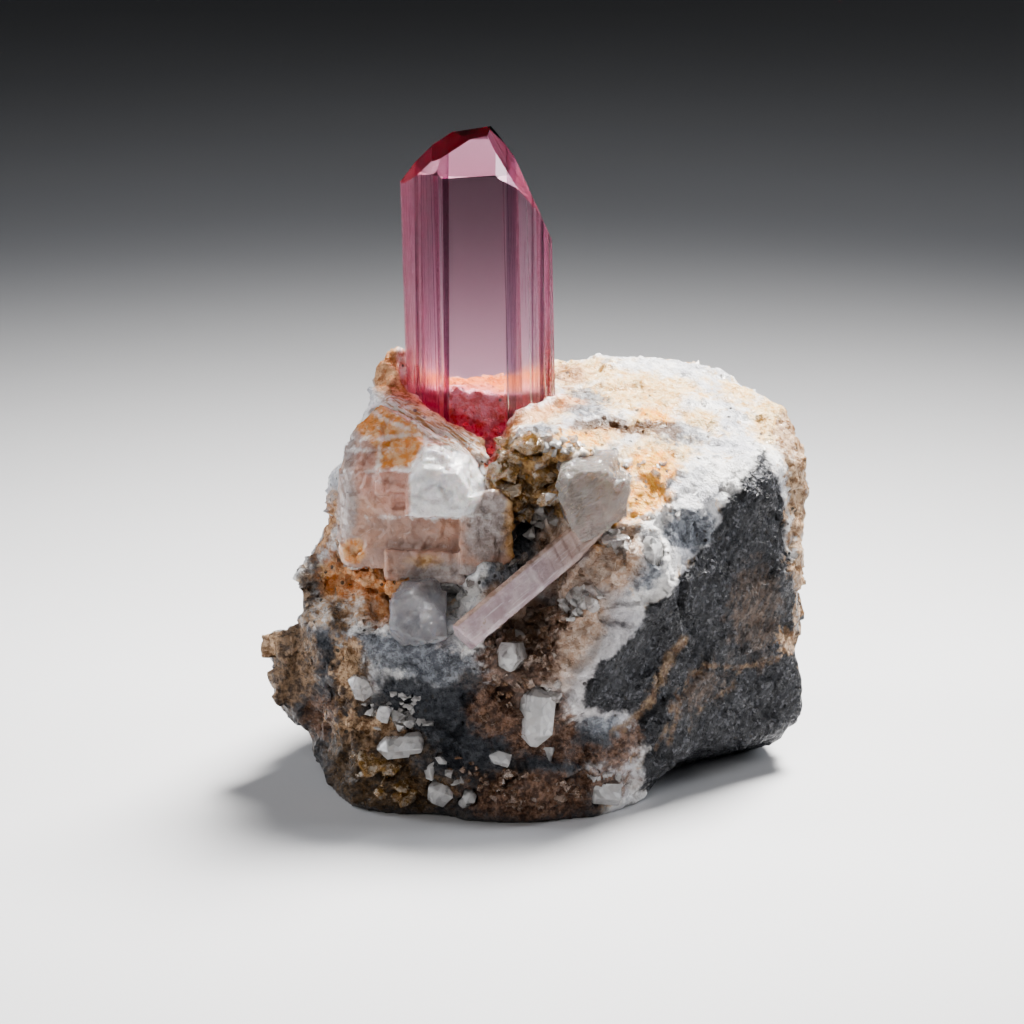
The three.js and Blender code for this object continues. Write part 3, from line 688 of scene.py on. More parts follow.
def roughen_rock(obj):
    points, normals = vertices_of(obj.data) / MM, normals_of(obj.data)
    seen = seen_at(points)
    front = facing_front(obj)
    dark = smoothstep(-0.8, 0.8, schist_depth(points, seen, front))
    low = smoothstep(34, 22, points[:, 2])
    silk = smoothstep(-0.2, 0.4, ellipse_depth(seen, *ROCK_PATCHES["silk"][0])) * front
    height = 0.24 * noise(points, 3.2, 21, 3) * (1 - 0.5 * dark)
    height += facets(points, 3.4, 31, 0.24, 0.06) * (0.45 + 0.55 * low) * (1 - 0.35 * dark)
    height += facets(points, 1.5, 41, 0.26, 0.08) * (0.5 + 0.5 * low) * (1 - 0.5 * dark)
    height += facets(points, 0.8, 51, 0.2, 0.05) * (1 - 0.5 * dark)
    height += 0.06 * noise(points, 0.7, 61, 2)
    across = points - (points @ RIDGE_WAY)[:, None] * RIDGE_WAY * 0.93
    height = height * (1 - 0.7 * silk) + 0.16 * noise(across, 0.7, 66, 2) * silk
    base = smoothstep(0.0, 1.0, points[:, 2])
    points = points + normals * (height * base)[:, None] - normals * 0.03
    points[:, 2] = np.maximum(points[:, 2], 0)
    set_vertices(obj.data, points * MM)


def topaz_distance(points, reach):
    """How far points are from the topaz, where it is nearer than the reach."""
    away = np.full(len(points), reach)
    low, high = [np.array(corner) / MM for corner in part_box("topaz_crystal")]
    near = np.all((points > low - reach) & (points < high + reach), axis=1)
    for i in np.nonzero(near)[0]:
        found = TOPAZ_TREE.find_nearest(Vector(points[i]), reach)
        if found[3] is not None:
            away[i] = found[3]
    return away


def paint_rock(obj):
    points, seen, front = paint(obj, ROCK_PATCHES)
    attribute(obj, "schist", schist_depth(points, seen, front))
    # Painted shade over the low front and the bottom of the other sides
    attribute(obj, "painted_low_shade", painted_shade_depth(points, seen, front))
    # The seat: reddish rock around the topaz, with painted light where it lies against it
    attribute(obj, "seat", 2.6 - topaz_distance(points, 5.0))
    attribute(obj, "unseen", 1 - front)
    veins = np.max([width - line_distance(seen, line) * PIXEL for line, width in VEINS], axis=0)
    hair = 0.05 - line_distance(seen, HAIRLINE) * PIXEL
    crack = 0.5 - line_distance(seen, CRACK) * PIXEL
    for name, depth in (("vein", veins), ("hairline", hair), ("crack", crack)):
        attribute(obj, name, np.clip(depth, -3, 3) * front - 3 * (1 - front))


# Colours over the marble: patch, two colours, how ragged its edge is, the size of the rags, softness, strength
ROCK_LAYERS = [
    ("milky", (0.52, 0.49, 0.50), (0.40, 0.38, 0.39), 0.7, 1.0, 0.7, 0.8),
    ("cream", (0.72, 0.41, 0.12), (0.84, 0.64, 0.36), 0.8, 1.6, 0.5, 0.92),
    ("grey", (0.05, 0.06, 0.08), (0.24, 0.26, 0.29), 0.8, 1.0, 0.5, 0.9),
    ("peach", (0.44, 0.27, 0.17), (0.62, 0.47, 0.37), 0.6, 1.6, 0.8, 0.85),
    ("gold", (0.78, 0.29, 0.02), (0.92, 0.50, 0.10), 0.6, 1.0, 0.5, 0.96),
    ("ochre", (0.22, 0.10, 0.015), (0.48, 0.29, 0.11), 0.6, 1.0, 0.5, 0.95),
    ("porous", (0.78, 0.47, 0.26), (0.60, 0.20, 0.035), 0.7, 1.0, 0.6, 0.95),
    ("wedge", (0.92, 0.88, 0.86), (0.66, 0.45, 0.28), 0.5, 1.0, 0.5, 0.95),
    # painted shade: near-black colour over the low front and the bottom of the other sides
    ("painted_low_shade", (0.013, 0.016, 0.023), (0.075, 0.058, 0.05), 0.7, 1.6, 0.6, 0.96),
    ("smoke", (0.011, 0.014, 0.021), (0.055, 0.06, 0.07), 0.8, 1.6, 0.7, 0.96),
    ("umber", (0.035, 0.019, 0.008), (0.12, 0.07, 0.03), 0.6, 1.0, 0.6, 0.95),
    ("rust", (0.06, 0.026, 0.013), (0.21, 0.115, 0.072), 0.8, 1.0, 0.7, 0.92),
    ("bark", (0.06, 0.033, 0.017), (0.27, 0.175, 0.105), 0.7, 1.0, 0.5, 0.95),
    ("brown", (0.26, 0.11, 0.035), (0.66, 0.38, 0.19), 0.5, 1.0, 0.5, 0.95),
    ("tan", (0.20, 0.11, 0.05), (0.50, 0.33, 0.19), 0.6, 1.0, 0.5, 0.95),
]


# Stains on the sides that the picture doesn't show: size in millimetres, threshold, warp, two colours
BACK_STAINS = [
    (7.0, 0.50, 0.6, (0.66, 0.36, 0.11), (0.80, 0.58, 0.32)),
    (6.0, 0.52, 0.9, (0.13, 0.145, 0.17), (0.36, 0.37, 0.40)),
    (5.0, 0.56, 1.4, (0.08, 0.042, 0.022), (0.32, 0.20, 0.11)),
]


def marble_colour(s, fine):
    """White and grey marble with rusty clouds, and stains where the picture doesn't reach."""
    colour = s.mix(s.ramp(s.noise(5.0, 4.0, 0.6), 0.38, 0.62), (0.56, 0.56, 0.60), (0.84, 0.82, 0.80))
    colour = s.mix(s.ramp(s.noise(1.1, 4.0, 0.7), 0.5, 0.7), colour, (0.92, 0.91, 0.90))
    grey = s.ramp(s.noise(2.2, 4.0, 0.75, warp=1.0), 0.56, 0.66)
    colour = s.mix(s.times(grey, 0.55), colour, (0.33, 0.34, 0.37))
    rusty = s.ramp(s.noise(3.0, 4.0, 0.7, warp=0.6), 0.57, 0.68)
    colour = s.mix(s.times(rusty, 0.7), colour, (0.70, 0.44, 0.20))
    unseen = s.attribute("unseen")
    for size, low, warp, first, second in BACK_STAINS:
        stain = s.times(s.ramp(s.noise(size, 4.0, 0.65, warp=warp), low, low + 0.06), unseen)
        colour = s.mix(s.times(stain, 0.85), colour, s.speckled(fine, first, second))
    return colour


def schist_colour(s):
    """Dark schist, streaked along its grain, with light flakes and worn brownish parts."""
    streaks = s.noise(0.5, 5.0, 0.7, s.along(SCHIST_GRAIN, 5.0))
    colour = s.mix(s.ramp(streaks, 0.4, 0.66), (0.006, 0.0065, 0.009), (0.036, 0.038, 0.045))
    flakes = s.ramp(s.cells(GRAIN_SIZE).outputs["Color"], 0.7, 0.85)
    colour = s.mix(s.times(flakes, 0.45), colour, (0.20, 0.20, 0.22))
    pale = s.ramp(s.noise(1.6, 4.0, 0.75, s.along(SCHIST_GRAIN, 3.0), 0.8), 0.6, 0.68)
    colour = s.mix(s.times(pale, 0.45), colour, (0.17, 0.17, 0.18))
    worn = s.times(s.inside("mottle", 1.4, 1.0, 0.8), s.ramp(streaks, 0.42, 0.6, 0.2, 0.75))
    return s.mix(worn, colour, (0.15, 0.10, 0.07))


def rock_colour(s, fine, schist):
    colour = marble_colour(s, fine)
    for name, first, second, ragged, size, soft, strength in ROCK_LAYERS:
        share = s.times(s.inside(name, ragged, size, soft), strength)
        colour = s.mix(share, colour, s.speckled(fine, first, second))
    colour = s.mix(schist, colour, schist_colour(s))
    vein = s.speckled(fine, (0.36, 0.25, 0.15), (0.15, 0.075, 0.035))
    colour = s.mix(s.times(s.inside("vein", 0.42, 1.0, 0.3), 0.65), colour, vein)
    rim = s.speckled(fine, (0.19, 0.10, 0.045), (0.56, 0.39, 0.25))
    colour = s.mix(s.inside("tan", 0.9, 1.0, 0.4), colour, rim)
    colour = s.mix(s.times(s.inside("hairline", 0.02, 1.0, 0.05), 0.5), colour, (0.5, 0.5, 0.52))
    return s.mix(s.times(s.inside("crack", 0.35, 1.0, 0.25), 0.9), colour, (0.07, 0.033, 0.015))


def seat_colour(s, colour):
    """The crumbly rock that the topaz sits in, reddish around it. Where it lies against the topaz and shows
    through it, it is painted pale, as painted light for the light that comes through the crystal.
    """
    crumb = s.ramp(s.noise(0.9, 4.0, 0.7), 0.42, 0.6)
    around = s.mix(crumb, (0.44, 0.17, 0.06), (0.78, 0.46, 0.25))
    colour = s.mix(s.times(s.inside("seat", 0.5, 1.0, 1.0), 0.9), colour, around)
    # Painted light: the rock within about a millimetre of the topaz is made pale pink, for light that comes
    # through the crystal
    painted_glow = s.ramp(s.attribute("seat"), 1.6, 2.2)
    return s.mix(painted_glow, colour, s.mix(crumb, (0.74, 0.36, 0.26), (0.98, 0.86, 0.80)))


def silk_colour(s, fibres):
    """The silky ridge's white and brown fibres."""
    return s.mix(s.ramp(fibres, 0.42, 0.58), (0.50, 0.27, 0.12), (0.94, 0.88, 0.83))


def rock_material():
    s = Shader("marble_and_schist", Specular_IOR_Level=0.38, IOR=1.55)
    fine = s.noise(0.6, 4.0, 0.7)
    schist = s.inside("schist", 0.55, 1.6, 0.3)
    colour = rock_colour(s, fine, schist)
    fibres = s.noise(0.28, 3.0, 0.6, s.along(RIDGE_WAY, 9.0))
    silk_share = s.ramp(s.attribute("silk"), -0.25, 0.35)
    colour = seat_colour(s, s.mix(silk_share, colour, silk_colour(s, fibres)))
    spots = s.ramp(s.cells(1.2).outputs["Distance"], 0.19, 0.12)
    specks = s.times(spots, s.ramp(s.noise(4.0, 2.0), 0.46, 0.56))
    s.set("Base Color", s.mix(s.times(specks, 0.9), colour, (0.03, 0.026, 0.022)))
    shaded = s.math("MAXIMUM", schist, s.inside("painted_low_shade", 0.7, 1.6, 0.6))
    light_part = s.math("SUBTRACT", 1.0, shaded, clamp=True)
    glassy = 0.0
    for name in ("ochre", "rust", "peach", "umber"):
        glassy = s.math("MAXIMUM", glassy, s.inside(name, 0.6, 1.0, 0.5))
    rough = s.ramp(s.noise(0.9, 4.0, 0.7), 0.35, 0.65, 0.14, 0.5)
    s.set("Roughness", s.blend(glassy, rough, s.ramp(fine, 0.35, 0.65, 0.05, 0.3)))
    grit = s.bump(s.noise(0.35, 3.0, 0.75), 0.3)
    lined = s.bump(s.times(fibres, silk_share), 0.4, grit)
    broken = s.glints(0.75, 0.34, s.math("MAXIMUM", s.times(light_part, 0.6), glassy), lined)
    s.set("Normal", s.glints(GRAIN_SIZE, 0.5, s.math("ADD", s.times(schist, 0.75), 0.12), broken))
    return s.material


# The topaz: a prism whose sides are finely grooved, with a many-faced end

TOPAZ_FOOT = Vector((-4.5, 2.2, 26.6))
TOPAZ_HEIGHT = 30.5
TOPAZ_LEAN = math.radians(1.3)
TOPAZ_SEED = 12
TOPAZ_WINDOW_X = -4.9  # the middle of the clear front face
# Darker bands beside the clear face: the middle and half the width of each, and its tint
TOPAZ_BANDS = [
    (-9.0, 0.85, (0.74, 0.36, 0.55)), (-10.2, 0.2, (0.30, 0.12, 0.22)), (-9.75, 0.08, (0.34, 0.15, 0.25)),
    (-8.35, 0.07, (0.34, 0.12, 0.22)), (-7.65, 0.27, (0.16, 0.03, 0.10)), (-1.95, 0.46, (0.36, 0.29, 0.40)),
    (-0.1, 0.12, (0.26, 0.11, 0.20)), (0.3, 0.06, (0.3, 0.13, 0.24)), (0.75, 0.2, (0.22, 0.09, 0.18)),
    (1.35, 0.09, (0.36, 0.18, 0.16)),
]
TOPAZ_END_Z = 53.8  # where the faces of the end begin at the front
# Each side runs to the next corner: corner, grooves on the way there, depth of the grooves
TOPAZ_SIDES = [
    ((-6.58, 0.3), 3, 0.08), ((-6.38, -0.75), 1, 0.02), ((-5.86, -1.62), 5, 0.16), ((-5.3, -2.25), 4, 0.06),
    ((-3.62, -3.72), 1, 0.0), ((-3.3, -3.74), 1, 0.0), ((-3.2, -3.98), 2, 0.05), ((-2.88, -4.33), 0, 0.0),
    ((2.12, -4.38), 7, 0.09), ((3.7, -3.7), 4, 0.05), ((5.05, -2.1), 12, 0.16), ((6.58, -0.3), 3, 0.08),
    ((6.38, 0.75), 4, 0.1), ((5.4, 2.2), 5, 0.1), ((3.65, 3.75), 4, 0.1), ((2.9, 4.33), 0, 0.0),
    ((-2.15, 4.38), 4, 0.08), ((-3.75, 3.7), 5, 0.12), ((-5.1, 2.1), 5, 0.12),
]
# The faces that end the crystal, by a point and the direction that each looks in
TOPAZ_ENDS = [
    ((0.2, 3.0, 30.0), (-0.16, 0.02, 1)), ((-3.2, 1.2, 28.9), (-0.5, -0.1, 1)),
    ((-5.5, 0.6, 26.9), (-0.95, -0.1, 1)), ((0.0, -4.4, 27.2), (-0.05, -1, 0.85)),
    ((1.9, -4.4, 27.2), (0.75, -0.75, 0.62)), ((4.0, -2.0, 25.6), (1.55, -0.1, 0.95)),
    ((5.8, 0.5, 22.1), (2.2, 0.15, 0.95)), ((0.0, 4.4, 27.5), (0, 1, 0.8)), ((3.0, 4.2, 26.9), (0.8, 0.9, 0.8)),
    ((-4.6, 3.2, 26.5), (-0.8, 0.8, 0.8)), ((-5.3, -2.1, 27.1), (-0.7, -0.6, 0.7)),
    ((-2.5, -4.0, 3.0), (-0.4, -1, -0.9)), ((4.5, 0, 2.0), (1, -0.1, -1.1)),
]


def grooved_outline():
    rng = np.random.default_rng(TOPAZ_SEED)
    outline = []
    following = TOPAZ_SIDES[1:] + TOPAZ_SIDES[:1]
    for ((x0, y0), grooves, depth), ((x1, y1), _, _) in zip(TOPAZ_SIDES, following):
        start, run = Vector((x0, y0)), Vector((x1 - x0, y1 - y0))
        inward = Vector((-run.y, run.x)).normalized()
        outline.append(start)
        for place in sorted(rng.uniform(0.08, 0.92, grooves)):
            sink = inward * depth * rng.uniform(0.3, 1.0)
            outline.append(start + run * (place - 0.012) + sink * 0.1)
            outline.append(start + run * place + sink)
            outline.append(start + run * min(place + 0.05, 0.97) + sink * 0.6)
    return outline


def cut_flat(bm, point, side):
    """Cuts away what lies beyond a plane and closes the cut with one face."""
    geometry = bm.verts[:] + bm.edges[:] + bm.faces[:]
    cut = bmesh.ops.bisect_plane(bm, geom=geometry, plane_co=point, plane_no=side, clear_outer=True, dist=1e-5)
    edges = [e for e in cut["geom_cut"] if isinstance(e, bmesh.types.BMEdge) and e.is_boundary]
    if edges:
        bmesh.ops.contextual_create(bm, geom=edges)


def topaz():
    bm = bmesh.new()
    ring = [bm.verts.new((p.x, p.y, 0)) for p in grooved_outline()]
    foot = bm.faces.new(ring)
    raised = bmesh.ops.extrude_face_region(bm, geom=[foot])["geom"]
    upper = [v for v in raised if isinstance(v, bmesh.types.BMVert)]
    bmesh.ops.translate(bm, vec=(0, 0, TOPAZ_HEIGHT), verts=upper)
    for point, side in TOPAZ_ENDS:
        cut_flat(bm, Vector(point), Vector(side).normalized())
    bmesh.ops.remove_doubles(bm, verts=bm.verts, dist=1e-3)
    bmesh.ops.triangulate(bm, faces=bm.faces, ngon_method="EAR_CLIP")
    bmesh.ops.recalc_face_normals(bm, faces=bm.faces)
    bmesh.ops.transform(bm, verts=bm.verts, matrix=Matrix.Rotation(-TOPAZ_LEAN, 4, "Y"))
    bmesh.ops.translate(bm, vec=TOPAZ_FOOT, verts=bm.verts)
    bmesh.ops.scale(bm, vec=(MM, MM, MM), verts=bm.verts)
    return finish_piece(object_of(bm, "topaz_prism"), topaz_material(), "topaz", "topaz_crystal", smooth=False)


def topaz_material():
    s = Shader("pink_topaz", Roughness=0.012, IOR=1.62, Transmission_Weight=1.0)
    lined = s.noise(0.16, 5.0, 0.7, s.along((math.sin(TOPAZ_LEAN), 0, math.cos(TOPAZ_LEAN)), 90.0))
    across = s.node("ShaderNodeSeparateXYZ")
    s.put(across.inputs[0], s.place)
    from_window = s.math("ABSOLUTE", s.math("SUBTRACT", across.outputs[0], TOPAZ_WINDOW_X))
    beside = s.ramp(from_window, 2.45, 2.75)
    s.set("Normal", s.bump(s.times(lined, beside), 0.05))
    colour = s.mix(s.times(s.ramp(lined, 0.55, 0.6), s.times(beside, 0.75)), (1, 0.97, 0.985),
                   (0.46, 0.18, 0.34))
    for middle, half_width, band in TOPAZ_BANDS:
        away = s.math("ABSOLUTE", s.math("SUBTRACT", across.outputs[0], middle))
        colour = s.mix(s.ramp(away, half_width, half_width - 0.08), colour, band)
    end = s.ramp(across.outputs[2], TOPAZ_END_Z - 0.05, TOPAZ_END_Z + 0.05)
    colour = s.mix(s.times(end, 0.96), colour, (0.12, 0.075, 0.10))
    s.set("Base Color", colour)
    tint = s.node("ShaderNodeVolumeAbsorption")
    tint.inputs["Color"].default_value = (0.90, 0.14, 0.44, 1)
    tint.inputs["Density"].default_value = 88.0
    s.tree.links.new(tint.outputs[0], s.output.inputs["Volume"])
    return s.material


# Healed cracks inside the topaz, near its foot and along its right edge: place in its own frame, size, how many
VEILS = [((-1.5, -1.0, 1.2), (3.6, 2.4, 1.0), 0.9, 16), ((0.5, 1.0, 2.6), (4.0, 2.4, 1.2), 0.8, 16),
         ((5.3, -0.9, 6.0), (0.5, 0.5, 3.4), 0.55, 12), ((5.8, -0.3, 10.5), (0.25, 0.3, 2.2), 0.4, 7)]
VEIL_SEED = 23


def topaz_veils():
    rng = np.random.default_rng(VEIL_SEED)
    bm = bmesh.new()
    for centre, spread, largest, count in VEILS:
        for _ in range(count):
            at = np.array(TOPAZ_FOOT) + centre + np.array(spread) * rng.uniform(-1, 1, 3)
            at[2] = max(at[2], TOPAZ_FOOT.z + 0.9)
            lean = Vector((rng.normal() * 0.5, rng.normal() * 0.5 - 0.5, 1)).normalized()
            turn = lean.to_track_quat("X", "Y") if largest < 0.6 else lean.to_track_quat("Z", "Y")
            chip(bm, at, turn, largest * rng.uniform(0.4, 1.0), rng, flat=0.9, thick=0.12)
    bmesh.ops.scale(bm, vec=(MM, MM, MM), verts=bm.verts)
    made = object_of(bm, "topaz_veils")
    s = Shader("healed_cracks", Base_Color=(0.95, 0.52, 0.44, 1), IOR=1.35, Transmission_Weight=0.72)
    s.set("Roughness", s.ramp(s.noise(0.5, 4.0, 0.7), 0.4, 0.65, 0.08, 0.4))
    s.set("Normal", s.bump(s.noise(0.25, 5.0, 0.7), 0.05))
    return finish_piece(made, s.material, "topaz", smooth=False)


# Cleaved calcite: blocks whose faces are broken in steps

BLOCK_PATCHES = {
    "cloud": [(444, 488, 20, 16)],
    "blush": [(388, 482, 26, 14), (368, 470, 14, 24), (408, 500, 30, 16)],
    "stain": [(352, 552, 14, 12)],
    "frost": [(362, 450, 16, 2), (398, 470, 28, 2, -2), (398, 436, 22, 2, -6), (440, 517, 32, 2),
              (426, 452, 2, 16), (388, 420, 20, 2, 26), (379, 455, 2, 12), (455, 458, 20, 2, 30)],
    "shade": [(349, 500, 8, 60), (455, 578, 54, 16, 5), (350, 450, 8, 26)],
    "amber": [(500, 476, 12, 14), (425, 560, 14, 6)],
    "silk": ROCK_PATCHES["silk"],
}


def block(node, name, material, seed, grow=0.12, coarse=2.6, chips=8, bite=0.5):
    """A broken block: the node's shape with corners knocked off and faces that step down in cleavage planes."""
    points, faces = solid_of(node)
    field = Field(points, faces, BLOCK_CELL, 1.6, 2.0)
    field.d -= grow
    rng = np.random.default_rng(seed)
    low, high = points.min(axis=0), points.max(axis=0)
    middle = (low + high) / 2
    _, grid = field.window(middle, 100.0)
    for _ in range(chips):
        way = rng.choice([-1, 1], 3) * rng.uniform(0.35, 1.0, 3)
        way /= np.linalg.norm(way)
        reach = ((points - middle) @ way).max()
        depth = (grid - middle) @ way - (reach - bite * rng.uniform(0.5, 1.6))
        field.d = np.maximum(field.d, depth[tuple(slice(n) for n in field.d.shape)])
    made = facing_out(field.surface(name))
    apply_modifier(made, "SMOOTH", factor=0.5, iterations=1)
    points, normals = vertices_of(made.data) / MM, normals_of(made.data)
    height = facets(points, coarse, seed, 0.14, 0.07) + facets(points, 1.1, seed + 50, 0.16, 0.07)
    height += 0.05 * noise(points, 1.6, seed + 90, 3)
    set_vertices(made.data, (points + normals * height[:, None] * 0.8) * MM)
    paint(made, BLOCK_PATCHES)
    return finish_piece(made, material, "calcite", node)


# Colours over the calcite: patch, two colours, how ragged its edge is, softness, strength
BLOCK_LAYERS = [
    ("shade", (0.30, 0.27, 0.27), (0.50, 0.47, 0.46), 0.3, 0.5, 0.75),
    ("blush", (0.56, 0.27, 0.21), (0.66, 0.38, 0.31), 0.35, 0.8, 0.75),
    ("stain", (0.74, 0.27, 0.04), (0.80, 0.48, 0.24), 0.4, 0.3, 0.88),
    ("amber", (0.42, 0.21, 0.06), (0.66, 0.42, 0.20), 0.4, 0.4, 0.85),
    ("cloud", (0.82, 0.82, 0.84), (0.95, 0.95, 0.96), 0.2, 0.2, 0.9),
    ("frost", (0.92, 0.89, 0.88), (0.98, 0.98, 0.98), 0.3, 0.2, 0.75),
]


def calcite_material(name, body, depth, clear, grain=None):
    s = Shader(name, IOR=1.56, Transmission_Weight=clear, Coat_Weight=0.4, Coat_Roughness=0.06,
               Subsurface_Weight=0.5, Subsurface_Radius=(1.0, 0.72, 0.55), Subsurface_Scale=0.0011)
    colour = s.mix(s.ramp(s.noise(4.0, 4.0, 0.6), 0.38, 0.62), body, depth)
    veins = s.ramp(s.noise(1.3, 6.0, 0.75, warp=1.2), 0.57, 0.63)
    colour = s.mix(s.times(veins, 0.25), colour, (0.86, 0.74, 0.68))
    fine = s.noise(0.7, 6.0, 0.7)
    for patch, first, second, ragged, soft, strength in BLOCK_LAYERS:
        share = s.times(s.inside(patch, ragged, 1.0, soft), strength)
        colour = s.mix(share, colour, s.speckled(fine, first, second))
    fibres = s.noise(0.28, 5.0, 0.6, s.along(RIDGE_WAY, 9.0))
    silk_share = s.inside("silk", 0.35, 0.9, 0.35)
    colour = s.mix(silk_share, colour, silk_colour(s, fibres))
    if grain is not None:
        threads = s.noise(0.22, 5.0, 0.65, s.along(grain, 7.0))
        colour = s.mix(s.times(s.ramp(threads, 0.52, 0.6), 0.5), colour, (0.97, 0.95, 0.94))
        colour = s.mix(s.times(s.ramp(threads, 0.42, 0.36), 0.5), colour, (0.56, 0.36, 0.18))
        fibres, silk_share = threads, 1.0
    s.set("Base Color", colour)
    s.set("Roughness", s.ramp(s.noise(1.3, 5.0, 0.7), 0.4, 0.62, 0.05, 0.26))
    fine_steps = s.bump(s.noise(0.5, 4.0, 0.75), 0.14)
    lined = s.bump(s.times(fibres, silk_share), 0.3, fine_steps)
    broken = s.glints(1.3, 0.2, 0.7, lined)
    s.set("Normal", s.glints(0.4, 0.4, 0.25, broken))
    return s.material


# The slender pale prism, crossed by fine growth lines

SLENDER_LOW = np.array([-6.4, -17.2, 16.6])
SLENDER_HIGH = np.array([6.4, -11.8, 26.2])
SLENDER_SIDE = np.array([-0.58, -0.1, 0.81])  # the way its brownish upper side faces


def bevelled(node, name, flat, width, segments, rng=None):
    """The node's own shape with its edges worn off, and with its corners moved a little where rng is given."""
    made = new_object(name, *solid_of(node))
    bm = bmesh.new()
    bm.from_mesh(made.data)
    bmesh.ops.remove_doubles(bm, verts=bm.verts, dist=1e-6)
    if rng is not None:
        middle = Vector(np.mean([v.co for v in bm.verts], axis=0))
        for v in bm.verts:
            v.co = middle + (v.co - middle) * rng.uniform(0.92, 1.06)
    bmesh.ops.dissolve_limit(bm, angle_limit=math.radians(flat), verts=bm.verts, edges=bm.edges)
    bmesh.ops.bevel(bm, geom=bm.edges[:], offset=width * MM, segments=segments, affect="EDGES")
    bmesh.ops.triangulate(bm, faces=bm.faces)
    bm.to_mesh(made.data)
    bm.free()
    return made


def slender_prism():
    made = bevelled("slender_prism", "pale_prism", 3, 0.07, 2)
    apply_modifier(made, "REMESH", mode="VOXEL", voxel_size=0.11 * MM)
    points, normals = vertices_of(made.data) / MM, normals_of(made.data)
    along = (SLENDER_HIGH - SLENDER_LOW) / np.linalg.norm(SLENDER_HIGH - SLENDER_LOW)
    t = (points - SLENDER_LOW) @ along
    aside = points - SLENDER_LOW - t[:, None] * along
    skewed = t + 0.35 * aside[:, 0]
    rings = noise(np.stack([skewed, 0 * t, 0 * t], axis=1), 0.34, 71, 2)
    rails = noise(np.stack([aside[:, 0] * 2.2, aside[:, 2] * 2.2, t * 0.08], axis=1), 0.5, 81, 2)
    height = 0.035 * np.sign(rings) * np.abs(rings) ** 0.5 * (noise(points, 2.4, 91) > 0) + 0.04 * rails
    set_vertices(made.data, (points + normals * height[:, None]) * MM)
    attribute(made, "along", t)
    attribute(made, "upper", normals @ SLENDER_SIDE)
    return finish_piece(made, slender_material(), "pale_topaz", "slender_prism")


def slender_material():
    s = Shader("pale_lilac_prism", Roughness=0.16, IOR=1.62, Transmission_Weight=0.35, Subsurface_Weight=0.5,
               Subsurface_Radius=(1.0, 0.8, 0.8), Subsurface_Scale=0.0012)
    colour = s.mix(s.ramp(s.noise(1.6, 4.0, 0.6), 0.38, 0.62), (0.50, 0.38, 0.41), (0.72, 0.60, 0.62))
    way = SLENDER_HIGH - SLENDER_LOW
    rails = s.noise(0.2, 4.0, 0.65, s.along(way, 12.0))
    colour = s.mix(s.times(s.ramp(rails, 0.55, 0.64), 0.55), colour, (0.88, 0.80, 0.82))
    root = s.ramp(s.attribute("along"), 8.0, 14.0)
    colour = s.mix(s.times(root, 0.5), colour, (0.55, 0.38, 0.26))
    upper = s.ramp(s.attribute("upper"), 0.45, 0.75)
    coarse = s.noise(0.8, 5.0, 0.7)
    brown = s.speckled(coarse, (0.24, 0.15, 0.10), (0.46, 0.34, 0.28))
    colour = s.mix(s.times(upper, 0.85), colour, brown)
    colour = s.mix(s.times(s.ramp(coarse, 0.6, 0.68), 0.6), colour, (0.34, 0.22, 0.16))
    s.set("Base Color", colour)
    s.set("Normal", s.bump(s.noise(0.22, 4.0, 0.7), 0.04, s.bump(rails, 0.06)))
    return s.material


# Small clear quartz, on the frame's places, and the crust of crystal chips around them

def chip(bm, at, turn, size, rng, flat=1.0, thick=1.0):
    """A small broken crystal: the hull of a few points around a stretched ball."""
    count = int(rng.integers(9, 15))
    way = rng.normal(size=(count, 3))
    way /= np.linalg.norm(way, axis=1)[:, None]
    stretch = size * np.array([1.0, rng.uniform(0.7, 1.0) * flat, rng.uniform(0.9, 1.6) * thick])
    verts = [bm.verts.new(Vector(at) + turn @ Vector(w * stretch)) for w in way]
    made = bmesh.ops.convex_hull(bm, input=verts)
    spare = [g for g in made["geom_interior"] + made["geom_unused"] if isinstance(g, bmesh.types.BMVert)]
    bmesh.ops.delete(bm, geom=list(set(spare)), context="VERTS")


# Where the chips grow: x, y, half width, half height in pixels, how many, and their largest size in millimetres
CHIP_AREAS = {
    "druse_brown": [(520, 655, 36, 32, 120, 0.8), (545, 622, 26, 14, 50, 0.7), (560, 560, 30, 24, 30, 0.8),
                    (530, 790, 50, 18, 60, 0.7), (508, 706, 34, 22, 26, 0.6), (480, 770, 30, 18, 16, 0.5),
                    (588, 505, 10, 14, 8, 0.5)],
    "druse_clear": [(390, 702, 28, 16, 34, 0.55), (572, 608, 14, 12, 26, 0.6), (512, 645, 12, 14, 6, 1.1),
                    (440, 775, 26, 18, 16, 0.6), (500, 575, 30, 12, 22, 0.5), (644, 548, 12, 16, 14, 0.9),
                    (560, 445, 26, 10, 22, 0.6), (530, 520, 12, 16, 14, 0.8), (640, 470, 26, 12, 14, 0.5),
                    (450, 620, 14, 10, 12, 0.5), (606, 780, 16, 8, 14, 0.7), (374, 560, 40, 10, 16, 0.4),
                    (400, 722, 30, 8, 12, 0.9), (660, 520, 24, 20, 20, 0.6)],
    "glassy_lobes": [(512, 470, 16, 18, 9, 1.7), (506, 446, 10, 8, 4, 1.3), (534, 452, 14, 10, 5, 1.5),
                     (545, 488, 14, 14, 6, 1.4), (524, 505, 8, 12, 5, 1.1), (504, 500, 6, 16, 4, 1.1),
                     (372, 770, 22, 16, 7, 1.5), (400, 786, 26, 8, 6, 1.1), (396, 590, 14, 18, 5, 1.2)],
    "glassy_lumps": [(614, 550, 16, 26, 9, 2.0), (645, 546, 8, 14, 4, 1.7), (520, 562, 10, 12, 5, 1.3),
                     (590, 596, 14, 14, 6, 1.2), (470, 572, 34, 10, 9, 1.4), (532, 440, 14, 8, 4, 1.3),
                     (540, 715, 8, 20, 4, 1.3), (553, 684, 6, 20, 4, 1.1), (560, 505, 10, 20, 5, 1.2),
                     (655, 468, 16, 12, 4, 1.0), (440, 600, 26, 20, 7, 1.3)],
}


